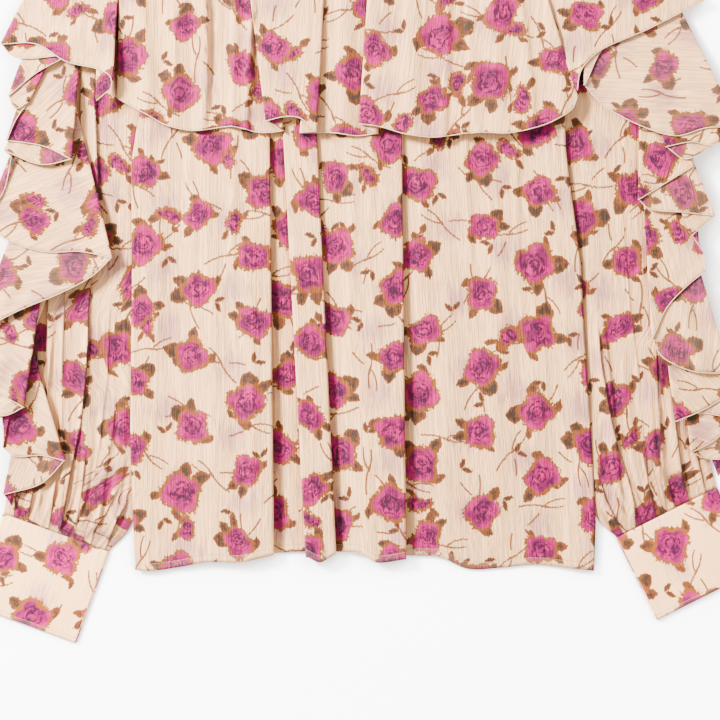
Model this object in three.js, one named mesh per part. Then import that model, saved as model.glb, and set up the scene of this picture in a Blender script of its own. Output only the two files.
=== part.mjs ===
import * as THREE from 'three';

// A ruffled blouse laid flat, front up. Sizes are in millimetres.
// Places are given on a layout grid: x runs to the right and y runs down, towards the hem.
// The grid's zero is 363 left of the body's middle line and 85 below the high neck point.
const gridMiddleX = 364;
const gridMiddleY = 279.1;

const wall = 1.2;
const flounceWall = 1.0;
const cuffWall = 1.6;
const seamGap = 0.4;
const armholeGap = 0.5;
const layerGap = 0.4;

const neckHalfWidth = 115;
const neckDepthFront = 62;
const neckDepthBack = 20;
const highNeckY = -85;
const shoulderTipY = -43;
const yokeSeamY = -4;
const hemY = 571;
const bodyMiddleX = 363;
const shoulderTipLeftX = 163;
const shoulderTipRightX = 560;

const backZ = wall / 2;
const frontZ = backZ + wall + layerGap;
const sleeveTopZ = backZ + wall + layerGap;
const sleeveHeight = sleeveTopZ + wall / 2;
// The body's side edges lie on the tucked inner edges of the sleeves.
const sideLift = sleeveHeight + layerGap;
const sideLiftFlat = 14;
const sideLiftReach = 34;
const sideLiftFromY = 50;
const sideLiftFullY = 140;
// Both body panels have cross lines at these places, so that they bend together.
const bodyLinesY = [sideLiftFromY, 95, sideLiftFullY, 200, 260, 330, 400, 460, 515];

const cloth = { color: 0xf0e1cd, roughness: 0.85, metalness: 0, side: THREE.DoubleSide };

function smooth(from, to, value) {
  const t = Math.min(1, Math.max(0, (value - from) / (to - from)));
  return t * t * (3 - 2 * t);
}

function mix(a, b, t) {
  return a + (b - a) * t;
}

function mixPoint(a, b, t) {
  return [mix(a[0], b[0], t), mix(a[1], b[1], t)];
}

// Height read from a short table of [place, height] pairs, straight between them.
function readTable(table, place) {
  if (place <= table[0][0]) return table[0][1];
  for (let i = 1; i < table.length; i += 1) {
    if (place <= table[i][0]) {
      const t = (place - table[i - 1][0]) / (table[i][0] - table[i - 1][0]);
      return mix(table[i - 1][1], table[i][1], t);
    }
  }
  return table[table.length - 1][1];
}

// The body's side edges: armhole above the underarm, side seam below it.
const leftSide = [[-43, 163], [165, 131], [280, 132], [440, 130], [571, 135]];
const rightSide = [[-43, 560], [150, 566], [190, 571], [265, 581], [327, 584], [431, 591], [523, 596], [571, 594]];

function leftSideX(y) {
  return readTable(leftSide, y);
}

function rightSideX(y) {
  return readTable(rightSide, y);
}

function liftAtSides(x, y) {
  const inside = Math.min(x - leftSideX(y), rightSideX(y) - x);
  const lift = readTable([[sideLiftFlat, sideLift], [sideLiftReach, 0]], inside);
  return lift * readTable([[sideLiftFromY, 0], [sideLiftFullY, 1]], y);
}

// A share of the body's width, with fixed strips beside the two side edges.
function bodyX(share, y) {
  const left = leftSideX(y);
  const right = rightSideX(y);
  return readTable([[0, left], [0.04, left + sideLiftFlat], [0.08, left + sideLiftReach],
    [0.92, right - sideLiftReach], [0.96, right - sideLiftFlat], [1, right]], share);
}

// A closed wall round a grid of points, half its thickness to each side.
// With ring true the grid's first column follows its last.
function wallGeometry(grid, thickness, ring) {
  const columns = grid.length;
  const rows = grid[0].length;
  const positions = [];
  const indices = [];
  const along = new THREE.Vector3();
  const down = new THREE.Vector3();
  const normal = new THREE.Vector3();
  const shell = [[], []];
  for (let i = 0; i < columns; i += 1) {
    const before = ring ? (i + columns - 1) % columns : Math.max(i - 1, 0);
    const after = ring ? (i + 1) % columns : Math.min(i + 1, columns - 1);
    for (let j = 0; j < rows; j += 1) {
      const toNext = grid[after][j].clone().sub(grid[i][j]);
      const fromLast = grid[i][j].clone().sub(grid[before][j]);
      along.copy(toNext.normalize()).add(fromLast.normalize());
      down.copy(grid[i][Math.min(j + 1, rows - 1)]).sub(grid[i][Math.max(j - 1, 0)]);
      normal.crossVectors(down, along).normalize().multiplyScalar(thickness / 2);
      shell[0].push(grid[i][j].clone().add(normal));
      shell[1].push(grid[i][j].clone().sub(normal));
    }
  }
  shell.forEach((points) => points.forEach((point) => positions.push(point.x, point.y, point.z)));
  const inner = columns * rows;
  const quad = (a, b, c, d) => indices.push(a, b, c, a, c, d);
  const spans = ring ? columns : columns - 1;
  for (let i = 0; i < spans; i += 1) {
    const here = i * rows;
    const next = ((i + 1) % columns) * rows;
    for (let j = 0; j < rows - 1; j += 1) {
      quad(here + j, here + j + 1, next + j + 1, next + j);
      quad(inner + here + j, inner + next + j, inner + next + j + 1, inner + here + j + 1);
    }
    const last = rows - 1;
    quad(here, next, inner + next, inner + here);
    quad(next + last, here + last, inner + here + last, inner + next + last);
  }
  if (!ring) {
    const end = (columns - 1) * rows;
    for (let j = 0; j < rows - 1; j += 1) {
      quad(j + 1, j, inner + j, inner + j + 1);
      quad(end + j, end + j + 1, inner + end + j + 1, inner + end + j);
    }
  }
  const geometry = new THREE.BufferGeometry();
  geometry.setAttribute('position', new THREE.Float32BufferAttribute(positions, 3));
  geometry.setIndex(volumeOf(positions, indices) < 0 ? indices.reverse() : indices);
  geometry.computeVertexNormals();
  return geometry;
}

function volumeOf(positions, indices) {
  const corner = [new THREE.Vector3(), new THREE.Vector3(), new THREE.Vector3()];
  let volume = 0;
  for (let i = 0; i < indices.length; i += 3) {
    corner.forEach((point, k) => point.fromArray(positions, 3 * indices[i + k]));
    volume += corner[0].dot(corner[1].cross(corner[2])) / 6;
  }
  return volume;
}

function onFrame(point, z) {
  return new THREE.Vector3(point[0] - gridMiddleX, gridMiddleY - point[1], z);
}

function piece(name, geometry) {
  const mesh = new THREE.Mesh(geometry, new THREE.MeshStandardMaterial(cloth));
  mesh.name = name;
  return mesh;
}

// The free edge between two fold tips, through the points in between.
function edgeCurve(points) {
  if (points.length < 3) return null;
  const curve = new THREE.CatmullRomCurve3(points.map((point) => new THREE.Vector3(point[0], point[1], 0)));
  curve.curveType = 'centripetal';
  return curve;
}

// A row is a fold line or a side edge, from its root at the seam to its tip at the free edge.
// before and after are the layers, counted upwards, on its two sides; where they differ the cloth turns over.
// via holds points on the free edge on the way to the next row, and path a curved fold line.
function foldedSheet(rows, shape) {
  const columns = [];
  const line = (row) => row.path || ((v) => mixPoint(row.root, row.tip, v));
  const outward = rows.map((row, i) => {
    const dx = row.tip[0] - row.root[0];
    const dy = row.tip[1] - row.root[1];
    const length = Math.hypot(dx, dy);
    const last = rows[Math.max(i - 1, 0)].tip;
    const next = rows[Math.min(i + 1, rows.length - 1)].tip;
    const side = (2 * row.tip[0] - last[0] - next[0]) * dy - (2 * row.tip[1] - last[1] - next[1]) * dx;
    const sign = side > 0 ? 1 : -1;
    return [(sign * dy) / length, (-sign * dx) / length];
  });
  const turns = (i) => i > 0 && i < rows.length - 1 && rows[i].before !== rows[i].after;
  const shifted = (i, share) => (v) => {
    const point = line(rows[i])(v);
    const radius = (turns(i) ? share : 0) * shape.spacing(v) / 2;
    return [point[0] - outward[i][0] * radius, point[1] - outward[i][1] * radius];
  };
  rows.forEach((row, i) => {
    if (turns(i)) {
      columns.push({ at: shifted(i, 1), level: row.before });
      columns.push({ at: shifted(i, 0), level: (row.before + row.after) / 2 });
    }
    columns.push({ at: shifted(i, 1), level: row.after });
    if (i === rows.length - 1) return;
    const start = shifted(i, 1);
    const end = shifted(i + 1, 1);
    const via = row.via || [];
    const curve = edgeCurve([start(1), ...via, end(1)]);
    const steps = row.steps ?? via.length * 2 + 1;
    for (let k = 1; k <= steps; k += 1) {
      const t = k / (steps + 1);
      const bulge = [0, 0];
      if (curve) {
        const edge = curve.getPointAt(t);
        const chord = mixPoint(start(1), end(1), t);
        bulge[0] = edge.x - chord[0];
        bulge[1] = edge.y - chord[1];
      }
      const at = (v) => {
        const point = mixPoint(start(v), end(v), t);
        const share = v ** shape.edgeEase;
        return [point[0] + bulge[0] * share, point[1] + bulge[1] * share];
      };
      columns.push({ at, level: mix(row.after, rows[i + 1].before, smooth(0, 1, t)) });
    }
  });
  const grid = columns.map((column) => {
    const points = [];
    shape.lines.forEach((v) => {
      const point = column.at(v);
      points.push(onFrame(point, shape.base(point[0], point[1], v) + column.level * shape.spacing(v)));
    });
    return points;
  });
  return wallGeometry(grid, shape.wall, false);
}

// Back panel: neckline and shoulders at the top, a hem that lies higher in the middle.
function neckY(x, depth) {
  const share = Math.abs(x - bodyMiddleX) / neckHalfWidth;
  if (share < 1) return highNeckY + depth * Math.sqrt(Math.max(0, 1 - share ** 2.4));
  const slope = (shoulderTipY - highNeckY) / (shoulderTipRightX - bodyMiddleX - neckHalfWidth);
  return highNeckY + slope * (Math.abs(x - bodyMiddleX) - neckHalfWidth);
}

const backHem = [[135, 568], [220, 556], [300, 532], [363, 526], [430, 533], [510, 556], [594, 569]];
const neckPlaces = [-1, -0.87, -0.6, -0.3, 0, 0.3, 0.6, 0.87, 1];
const neckShares = neckPlaces.map((place) => {
  const inside = bodyMiddleX + place * neckHalfWidth - shoulderTipLeftX - sideLiftReach;
  return mix(0.08, 0.92, inside / (shoulderTipRightX - shoulderTipLeftX - 2 * sideLiftReach));
});
const bodyShares = [0, 0.04, 0.08, 0.14, ...neckShares, 0.86, 0.92, 0.96, 1];

function backPanel() {
  const grid = bodyShares.map((share) => {
    const topY = neckY(bodyX(share, highNeckY), neckDepthBack);
    const bottomY = readTable(backHem, bodyX(share, hemY));
    return [topY, ...bodyLinesY, bottomY].map((y) => {
      const x = bodyX(share, y);
      return onFrame([x, y], backZ + liftAtSides(x, y));
    });
  });
  return piece('back', wallGeometry(grid, wall, false));
}

function yoke() {
  const bottomY = yokeSeamY - seamGap;
  const grid = bodyShares.map((share) => {
    const topY = neckY(bodyX(share, highNeckY), neckDepthFront);
    return [0, 0.5, 1].map((v) => {
      const y = mix(topY, bottomY, v);
      return onFrame([bodyX(share, y), y], frontZ);
    });
  });
  return piece('front_yoke', wallGeometry(grid, wall, false));
}

// Lower front: three pressed folds that lie over a sunken strip on their right, and one on its left.
const frontSpacingRoot = 1.6;
const frontSpacingFlounce = 2.6;
const frontSpacingHem = 4.5;

function frontSpacing(v) {
  return v < 0.35 ? mix(frontSpacingRoot, frontSpacingFlounce, v / 0.35)
    : mix(frontSpacingFlounce, frontSpacingHem, smooth(0.35, 0.75, v));
}

const bodyLine = (share, bottomY) => {
  const path = (v) => {
    const y = v < 1 ? mix(yokeSeamY, hemY, v) : bottomY;
    return [bodyX(share, y), y];
  };
  return { root: path(0), tip: path(1), path };
};

const frontRows = [
  { ...bodyLine(0, 570), before: 0, after: 0, steps: 0 },
  { ...bodyLine(0.04, 571), before: 0, after: 0, steps: 0 },
  { ...bodyLine(0.08, 570), before: 0, after: 0, via: [[180, 567], [207, 562], [240, 562]] },
  { root: [268, -4], tip: [274, 555], before: 2, after: 1, steps: 1 },
  { root: [252, -4], tip: [262, 554], before: 1, after: 0, steps: 2 },
  { root: [296, -4], tip: [318, 551], before: 0, after: 1, steps: 1 },
  { root: [276, -4], tip: [306, 557], before: 1, after: 2, via: [[320, 562]] },
  { root: [310, -4], tip: [336, 554], before: 2, after: 1, steps: 1 },
  { root: [290, -4], tip: [322, 552], before: 1, after: 0, via: [[349, 552], [360, 552], [376, 562]] },
  { root: [400, -4], tip: [406, 559], before: 2, after: 1, steps: 1 },
  { root: [386, -4], tip: [392, 556], before: 1, after: 0,
    via: [[422, 556], [440, 557], [468, 569], [502, 568], [534, 565]] },
  { ...bodyLine(0.92, 567), before: 0, after: 0, steps: 0 },
  { ...bodyLine(0.96, 569), before: 0, after: 0, steps: 0 },
  { ...bodyLine(1, 571), before: 0, after: 0 },
];

function frontPanel() {
  return piece('front', foldedSheet(frontRows, {
    wall: flounceWall,
    lines: [0, ...bodyLinesY.map((y) => (y - yokeSeamY) / (hemY - yokeSeamY)), 1],
    edgeEase: 3,
    spacing: frontSpacing,
    base: (x, y) => frontZ + liftAtSides(x, y),
  }));
}

// Chest flounce, on top of the front's folds. Two raised folds hang over the strip between them.
const chestRows = [
  { root: [124, -8], tip: [117, 98], before: 0, after: 0, steps: 26,
    via: [[131, 106], [149, 116], [168, 126], [195, 131], [230, 127], [262, 133]] },
  { root: [262, -8], tip: [284, 131], before: 0, after: 1, steps: 1 },
  { root: [250, -8], tip: [266, 122], before: 1, after: 2, steps: 9, via: [[284, 118], [300, 119]] },
  { root: [324, -8], tip: [317, 132], before: 2, after: 1, steps: 1 },
  { root: [309, -8], tip: [300, 133], before: 1, after: 0, steps: 14, via: [[332, 133], [356, 136]] },
  { root: [386, -8], tip: [378, 134], before: 0, after: 1, steps: 1 },
  { root: [368, -8], tip: [359, 125], before: 1, after: 2, steps: 18, via: [[381, 128], [406, 135], [432, 138]] },
  { root: [452, -8], tip: [464, 134], before: 0.6, after: 0.6, steps: 20,
    via: [[486, 133], [506, 134], [539, 127], [558, 119], [572, 109]] },
  { root: [545, -8], tip: [577, 96], before: 1.2, after: 1.2 },
];
const chestSpacingRoot = 1.5;
const chestSpacingEdge = 4.2;
// Soft folds between the pressed ones, by their places at the seam and at the free edge.
const chestCreases = [
  { seamX: 143, edgeX: 146, halfWidth: 9, height: 3.5 },
  { seamX: 176, edgeX: 176, halfWidth: 11, height: 2.4 },
  { seamX: 206, edgeX: 203, halfWidth: 9, height: 4.4 },
  { seamX: 232, edgeX: 230, halfWidth: 8, height: 3.2 },
  { seamX: 345, edgeX: 341, halfWidth: 8, height: 2.6 },
  { seamX: 410, edgeX: 417, halfWidth: 11, height: 3.6 },
  { seamX: 450, edgeX: 446, halfWidth: 9, height: 4.4 },
  { seamX: 492, edgeX: 504, halfWidth: 10, height: 4.2 },
  { seamX: 520, edgeX: 534, halfWidth: 9, height: 3.0 },
  { seamX: 540, edgeX: 560, halfWidth: 9, height: 4.0 },
];
const chestCreaseFullBy = 0.35;

function chestCreaseHeight(x, v) {
  const height = chestCreases.reduce((sum, crease) => {
    const away = (x - mix(crease.seamX, crease.edgeX, v)) / crease.halfWidth;
    return sum + crease.height * Math.exp(-(away ** 2));
  }, 0);
  return height * smooth(0, chestCreaseFullBy, v);
}

function chestFlounce() {
  const clear = wall / 2 + layerGap + flounceWall / 2;
  return piece('chest_flounce', foldedSheet(chestRows, {
    wall: flounceWall,
    lines: [0, 0.2, 0.4, 0.6, 0.8, 1],
    edgeEase: 2,
    spacing: (v) => mix(chestSpacingRoot, chestSpacingEdge, v),
    base: (x, y, v) => frontZ + clear + chestCreaseHeight(x, v)
      + 2 * frontSpacing(Math.max(0, (y - yokeSeamY) / (hemY - yokeSeamY))),
  }));
}

// Sleeves: flattened tubes. Each row joins the inner edge to the outer edge; the first follows the armhole.
const sleeveRowsLeft = [
  { inner: [131, 165], outer: [163, -43] },
  { inner: [133, 205], outer: [100, -28] },
  { inner: [138, 250], outer: [60, 25] },
  { inner: [140, 300], outer: [32, 110] },
  { inner: [141, 360], outer: [18, 220] },
  { inner: [141, 425], outer: [12, 330] },
  { inner: [140, 485], outer: [12, 420] },
  { inner: [129, 528], outer: [10, 478] },
  { inner: [108, 551.6], outer: [3, 513.6] },
];
const sleeveRowsRight = [
  { inner: [566, 150], outer: [560, -43] },
  { inner: [570, 196], outer: [625, -28] },
  { inner: [573, 250], outer: [665, 25] },
  { inner: [575, 300], outer: [688, 110] },
  { inner: [577, 360], outer: [698, 220] },
  { inner: [580, 425], outer: [704, 330] },
  { inner: [585, 485], outer: [706, 420] },
  { inner: [598, 519], outer: [710, 458] },
  { inner: [617, 537.6], outer: [717, 487.6] },
];
// Folds in the upper layer: across is the share of the width from the inner edge, near the top and at the cuff.
const sleeveFoldsLeft = [
  { acrossTop: 0.40, acrossCuff: 0.30, start: 0.45, width: 0.20, height: 2.6, lean: -5 },
  { acrossTop: 0.62, acrossCuff: 0.52, start: 0.45, width: 0.18, height: 2.2, lean: -4 },
  { acrossTop: 0.76, acrossCuff: 0.74, start: 0.5, width: 0.14, height: 1.8, lean: -3 },
];
const sleeveFoldsRight = [
  { acrossTop: 0.20, acrossCuff: 0.22, start: 0.45, width: 0.20, height: 2.6, lean: 5 },
  { acrossTop: 0.62, acrossCuff: 0.48, start: 0.45, width: 0.20, height: 2.4, lean: 5 },
  { acrossTop: 0.76, acrossCuff: 0.66, start: 0.5, width: 0.16, height: 1.8, lean: 3 },
];

function foldHeight(folds, across, v) {
  return folds.reduce((sum, fold) => {
    const middle = mix(fold.acrossTop, fold.acrossCuff, v);
    const near = Math.max(0, 1 - Math.abs(across - middle) / (fold.width / 2));
    const amount = smooth(0, 1, near) * smooth(fold.start, fold.start + 0.2, v);
    return { height: sum.height + fold.height * amount, shift: sum.shift + fold.lean * amount };
  }, { height: 0, shift: 0 });
}

// A ring of the flattened tube: over the top from the inner edge to the outer one, and back underneath.
function tubeGrid(rows, shape) {
  const ring = [];
  for (let k = 0; k <= shape.topSteps; k += 1) ring.push({ across: k / shape.topSteps, layer: 1 });
  ring.push({ across: 1, layer: 0.5 });
  for (let k = shape.bottomSteps; k >= 0; k -= 1) ring.push({ across: k / shape.bottomSteps, layer: 0 });
  ring.push({ across: 0, layer: 0.5 });
  const rise = shape.topZ - shape.bottomZ;
  return ring.map((place) => rows.map((row, r) => {
    const v = r / (rows.length - 1);
    const width = Math.hypot(row.outer[0] - row.inner[0], row.outer[1] - row.inner[1]);
    const inset = rise / 2 / width;
    const isTurn = place.layer === 0.5;
    const fold = place.layer === 1 ? foldHeight(shape.folds, place.across, v) : { height: 0, shift: 0 };
    const across = (isTurn ? place.across : mix(inset, 1 - inset, place.across)) + fold.shift / width;
    const point = mixPoint(row.inner, row.outer, across);
    if (row.curve) point[0] = row.curve(point[1]);
    return onFrame(point, shape.bottomZ + rise * place.layer + fold.height);
  }));
}

function sleeve(name, rows, folds, sideX, side) {
  const first = { ...rows[0], curve: (y) => sideX(y) + side * armholeGap };
  const grid = tubeGrid([first, ...rows.slice(1)], {
    topSteps: 22, bottomSteps: 5, bottomZ: wall / 2, topZ: sleeveTopZ, folds,
  });
  return piece(name, wallGeometry(grid, wall, true));
}

// Cuffs: closed bands of doubled cloth.
const cuffLeft = { inner: [[108, 552], [75, 643]], outer: [[3, 514], [-30, 605]] };
const cuffRight = { inner: [[617, 538], [658, 620]], outer: [[717, 488], [758, 570]] };

function cuff(name, corners) {
  const rows = [0, 0.5, 1].map((v) => ({
    inner: mixPoint(corners.inner[0], corners.inner[1], v),
    outer: mixPoint(corners.outer[0], corners.outer[1], v),
  }));
  const topZ = cuffWall / 2 + cuffWall + layerGap;
  const grid = tubeGrid(rows, { topSteps: 6, bottomSteps: 4, bottomZ: cuffWall / 2, topZ, folds: [] });
  return piece(name, wallGeometry(grid, cuffWall, true));
}

// Sleeve flounces: a long strip that zigzags down the sleeve, each turn on top of the next unless a layer is given.
const cascadeLeft = [
  { tip: [97, 103], root: [98, -54], via: [[106, 93]], layer: -2 },
  { tip: [114, 84], root: [116, -53], via: [[98, 70], [68, 63], [37, 45]] },
  { tip: [2, 45], root: [48, -52], via: [[16, 58]] },
  { tip: [70, 56], root: [84, -20], via: [[36, 75]] },
  { tip: [10, 97], root: [42, 0], via: [[17, 110]] },
  { tip: [30, 104], root: [70, 20], via: [[18, 120]] },
  { tip: [8, 141], root: [42, 35], via: [[45, 147]] },
  { tip: [73, 160], root: [80, 50], via: [[42, 165]] },
  { tip: [5, 151], root: [42, 70], via: [] },
  { tip: [13, 158], root: [60, 80], via: [[5, 190]] },
  { tip: [-16, 224], root: [36, 90], via: [[10, 241], [45, 252], [82, 252]] },
  { tip: [113, 258], root: [74, 100], via: [[92, 277], [58, 295], [20, 311]] },
  { tip: [-24, 334], root: [42, 150], via: [[-12, 322]] },
  { tip: [2, 312], root: [54, 190], via: [[-10, 345]] },
  { tip: [-18, 384], root: [36, 215], via: [[4, 395]] },
  { tip: [26, 407], root: [48, 250], via: [[8, 415]] },
  { tip: [-16, 414], root: [30, 275], via: [] },
  { tip: [4, 418], root: [46, 300], via: [[5, 432]] },
  { tip: [4, 447], root: [26, 330], via: [[16, 456], [40, 455]] },
  { tip: [66, 460], root: [34, 355], via: [[42, 483]] },
  { tip: [4, 494], root: [22, 400], via: [] },
  { tip: [12, 506], root: [26, 430], via: [] },
];
const cascadeRight = [
  { tip: [580, 91], root: [538, -53], via: [[580, 72], [597, 53], [649, 29]] },
  { tip: [703, 1], root: [650, -52], via: [[671, 14], [640, 28], [605, 46]] },
  { tip: [583, 86], root: [586, -45], via: [[600, 104], [638, 126], [674, 137], [705, 129]] },
  { tip: [738, 128], root: [662, -30], via: [[712, 146], [690, 143]] },
  { tip: [664, 148], root: [636, 40], via: [[684, 160]] },
  { tip: [717, 143], root: [668, 55], via: [] },
  { tip: [672, 152], root: [646, 70], via: [] },
  { tip: [692, 167], root: [672, 85], via: [[664, 184]] },
  { tip: [637, 200], root: [640, 100], via: [[648, 209], [685, 213]] },
  { tip: [714, 216], root: [678, 125], via: [] },
  { tip: [690, 236], root: [650, 140], via: [[702, 254]] },
  { tip: [704, 272], root: [676, 150], via: [[687, 285], [666, 307]] },
  { tip: [650, 338], root: [642, 165], via: [[660, 356], [690, 371]] },
  { tip: [728, 373], root: [676, 190], via: [] },
  { tip: [700, 366], root: [650, 215], via: [] },
  { tip: [738, 388], root: [682, 240], via: [[703, 409]] },
  { tip: [674, 421], root: [655, 270], via: [[690, 413]] },
  { tip: [736, 418], root: [686, 300], via: [[712, 441]] },
  { tip: [690, 452], root: [676, 340], via: [[705, 458]] },
  { tip: [734, 459], root: [696, 380], via: [] },
  { tip: [718, 476], root: [694, 410], via: [] },
];
const cascadeSpacing = 1.7;
// The lower sleeve's folds lift the flounce a little.
const cascadeLift = [[250, 0], [330, 2.8]];

function cascade(name, rows) {
  const layers = rows.map((row, k) => row.layer ?? -k);
  // At each root the seam is raised by as many layers as the lowest one so far lies below the top.
  const roots = rows.map((row, k) => [row.root[1], -Math.min(...layers.slice(0, k + 1))]);
  const layered = rows.map((row, k) => ({ ...row, before: layers[Math.max(k - 1, 0)], after: layers[k] }));
  const lowest = sleeveHeight + layerGap + flounceWall / 2;
  return piece(name, foldedSheet(layered, {
    wall: flounceWall,
    lines: [0, 0.25, 0.5, 0.75, 1],
    edgeEase: 1.5,
    spacing: () => cascadeSpacing,
    base: (x, y) => lowest + readTable(cascadeLift, y) + cascadeSpacing * readTable(roots, y),
  }));
}

const blouse = new THREE.Group();
blouse.add(backPanel());
blouse.add(yoke());
blouse.add(frontPanel());
blouse.add(chestFlounce());
blouse.add(sleeve('sleeve_left', sleeveRowsLeft, sleeveFoldsLeft, leftSideX, -1));
blouse.add(sleeve('sleeve_right', sleeveRowsRight, sleeveFoldsRight, rightSideX, 1));
blouse.add(cuff('cuff_left', cuffLeft));
blouse.add(cuff('cuff_right', cuffRight));
blouse.add(cascade('sleeve_flounce_left', cascadeLeft));
blouse.add(cascade('sleeve_flounce_right', cascadeRight));

export default blouse;
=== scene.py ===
import math
import bpy
import numpy as np
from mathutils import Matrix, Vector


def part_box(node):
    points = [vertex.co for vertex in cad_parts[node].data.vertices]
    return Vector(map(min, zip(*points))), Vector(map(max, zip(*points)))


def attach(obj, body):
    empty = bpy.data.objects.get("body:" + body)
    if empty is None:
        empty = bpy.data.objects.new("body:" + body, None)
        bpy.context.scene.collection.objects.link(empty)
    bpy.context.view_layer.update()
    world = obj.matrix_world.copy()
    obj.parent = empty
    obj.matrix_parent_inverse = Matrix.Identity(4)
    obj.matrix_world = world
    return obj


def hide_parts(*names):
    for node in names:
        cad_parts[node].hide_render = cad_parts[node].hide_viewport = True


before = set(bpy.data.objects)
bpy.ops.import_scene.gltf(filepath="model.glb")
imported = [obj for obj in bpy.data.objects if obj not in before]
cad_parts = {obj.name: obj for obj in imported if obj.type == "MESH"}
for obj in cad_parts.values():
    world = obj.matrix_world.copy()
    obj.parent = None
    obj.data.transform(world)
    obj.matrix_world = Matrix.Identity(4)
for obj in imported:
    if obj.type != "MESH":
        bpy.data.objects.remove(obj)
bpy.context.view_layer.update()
print("frame loaded")

# Places are on the part's layout grid, in millimetres: x to the right and y down, towards the hem.
layout = {
    "highNeckY": -85, "shoulderTipY": -43, "yokeSeamY": -4, "hemY": 571,
    "bodyMiddleX": 363, "shoulderTipRightX": 560, "leftmostX": 130,
    "neckHalfWidth": 115, "neckDepthFront": 62, "neckDepthBack": 20,
}
# Heights of the middle of each layer above the table, and how the body rises over the sleeves' edges.
heights = {
    "back": 0.6, "front": 2.2, "sleeveTop": 2.2, "flounceClear": 1.5, "cascade": 3.7,
    "sideLift": 3.2, "liftFlat": 14, "liftReach": 34, "liftFromY": 50, "liftFullY": 140,
}
clothThickness = {"chiffon": 0.5, "cuff": 1.2}

frontLow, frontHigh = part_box("front")
gridMiddle = (layout["leftmostX"] - frontLow.x * 1000, layout["hemY"] + frontLow.y * 1000)

leftSide = [(-43, 163), (165, 131), (280, 132), (440, 130), (571, 135)]
rightSide = [(-43, 560), (150, 566), (190, 571), (265, 581), (327, 584), (431, 591), (523, 596), (571, 594)]


def smooth(start, end, value):
    t = np.clip((value - start) / (end - start), 0, 1)
    return t * t * (3 - 2 * t)


def mix(a, b, t):
    return a + (b - a) * t


def readTable(table, place):
    return np.interp(place, [row[0] for row in table], [row[1] for row in table])


def onFrame(x, y, z):
    x, y, z = np.broadcast_arrays(x, y, z)
    return np.stack([x - gridMiddle[0], gridMiddle[1] - y, z], axis=-1) / 1000


def liftAtSides(x, y):
    # zero inside the body, rising in a straight ramp to the full lift beside each side edge
    inside = np.minimum(x - readTable(leftSide, y), readTable(rightSide, y) - x)
    rise = readTable([(heights["liftFlat"], heights["sideLift"]), (heights["liftReach"], 0)], inside)
    return rise * readTable([(heights["liftFromY"], 0), (heights["liftFullY"], 1)], y)


def bodyX(share, y):
    # the place at a share of the way from the left side edge to the right one
    return mix(readTable(leftSide, y), readTable(rightSide, y), share)


def catmullRom(points, shares):
    # centripetal Catmull-Rom curve through the points, read at shares of its length
    p = np.array(points, float)
    p = np.vstack([2 * p[0] - p[1], p, 2 * p[-1] - p[-2]])
    gap = np.maximum(np.linalg.norm(np.diff(p, axis=0), axis=1) ** 0.5, 1e-6)
    knot = np.concatenate([[0], np.cumsum(gap)])
    steps = np.linspace(0, 1, 24, endpoint=False)
    place = np.concatenate([mix(knot[i], knot[i + 1], steps) for i in range(1, len(p) - 2)] + [[knot[-2]]])
    i = np.clip(np.searchsorted(knot, place, side="right") - 1, 1, len(p) - 3)

    def between(a, b, first, last):
        t = ((place - knot[first]) / (knot[last] - knot[first]))[:, None]
        return mix(a, b, t)

    a1, a2, a3 = (between(p[i + k], p[i + k + 1], i + k, i + k + 1) for k in (-1, 0, 1))
    b1, b2 = between(a1, a2, i - 1, i + 1), between(a2, a3, i, i + 2)
    curve = between(b1, b2, i, i + 1)
    length = np.concatenate([[0], np.cumsum(np.linalg.norm(np.diff(curve, axis=0), axis=1))])
    return np.stack([np.interp(shares * length[-1], length, curve[:, k]) for k in (0, 1)], axis=-1)


def creases(x, y, table):
    # each row is a ridge from its top to its foot: a bell across it, fading out at both ends, and four times
    # as steep on the side that it leans to, 1 for the right and -1 for the left
    height = np.zeros(np.broadcast(x, y).shape)
    for topX, topY, footX, footY, width, rise, lean in table:
        t = (y - topY) / (footY - topY)
        away = (x - mix(topX, footX, np.clip(t, 0, 1)) - 2.5 * np.sin(t * 5 + topX)) / width
        away = np.where(away * lean > 0, away * 4, away)
        fade = smooth(-0.04, 0.25, t) * (1 - smooth(0.7, 1.08, t))
        height = height + rise * fade * np.exp(-away ** 2)
    return height


def laps(x, y, table):
    # each row is a fold's edge through its points, downwards: the cloth rises to it as exp(d / 6) on one side,
    # 1 for the left and -1 for the right, and past it drops as exp(-d / 0.7), with painted shade in the drop and a thin
    # painted dark line at the edge. The fold hides a strip of cloth, so past its edge the cut cloth's place is further
    # on.
    height, dark, hidden = (np.zeros(np.broadcast(x, y).shape) for _ in range(3))
    for points, rise, side in table:
        top, foot = points[0][1], points[-1][1]
        away = (x - readTable([(place[1], place[0]) for place in points], y)) * side
        fade = smooth(top - 4, top + 22, y) * (1 - smooth(foot - 4, foot + 8, y))
        height = height + rise * fade * np.exp(np.where(away < 0, away / 6, -away / 0.7))
        # painted shade: strongest just past the edge, fading over a few millimetres
        past = 0.75 * np.exp(-np.abs(away) / 0.9) + 0.35 * np.exp(-np.abs(away) / 6)
        dark = np.maximum(dark, fade * min(rise / 2.2, 1) * np.where(away > 0, past, 0.95 * np.exp(away / 0.4)))
        hidden = hidden + 4 * rise * fade * (away * side > 0)
    return height, dark, hidden


def ripples(place, wave, seed):
    # three sines of uneven length, from -1 to 1
    return (np.sin(2 * np.pi * place / wave + seed) + 0.6 * np.sin(2 * np.pi * place / (wave * 0.618) + 2.1 * seed)
            + 0.4 * np.sin(2 * np.pi * place / (wave * 1.731) + 4.7 * seed)) / 2


def surfaceNormals(points, ring):
    # across the mean direction to both neighbours along the columns, and the one down the rows
    before, after = np.roll(points, 1, axis=0), np.roll(points, -1, axis=0)
    if not ring:
        before[0], after[-1] = points[0], points[-1]
    down = np.gradient(points, axis=1)
    normal = np.cross(down, after - before)
    return normal / np.maximum(np.linalg.norm(normal, axis=-1, keepdims=True), 1e-12)


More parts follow.
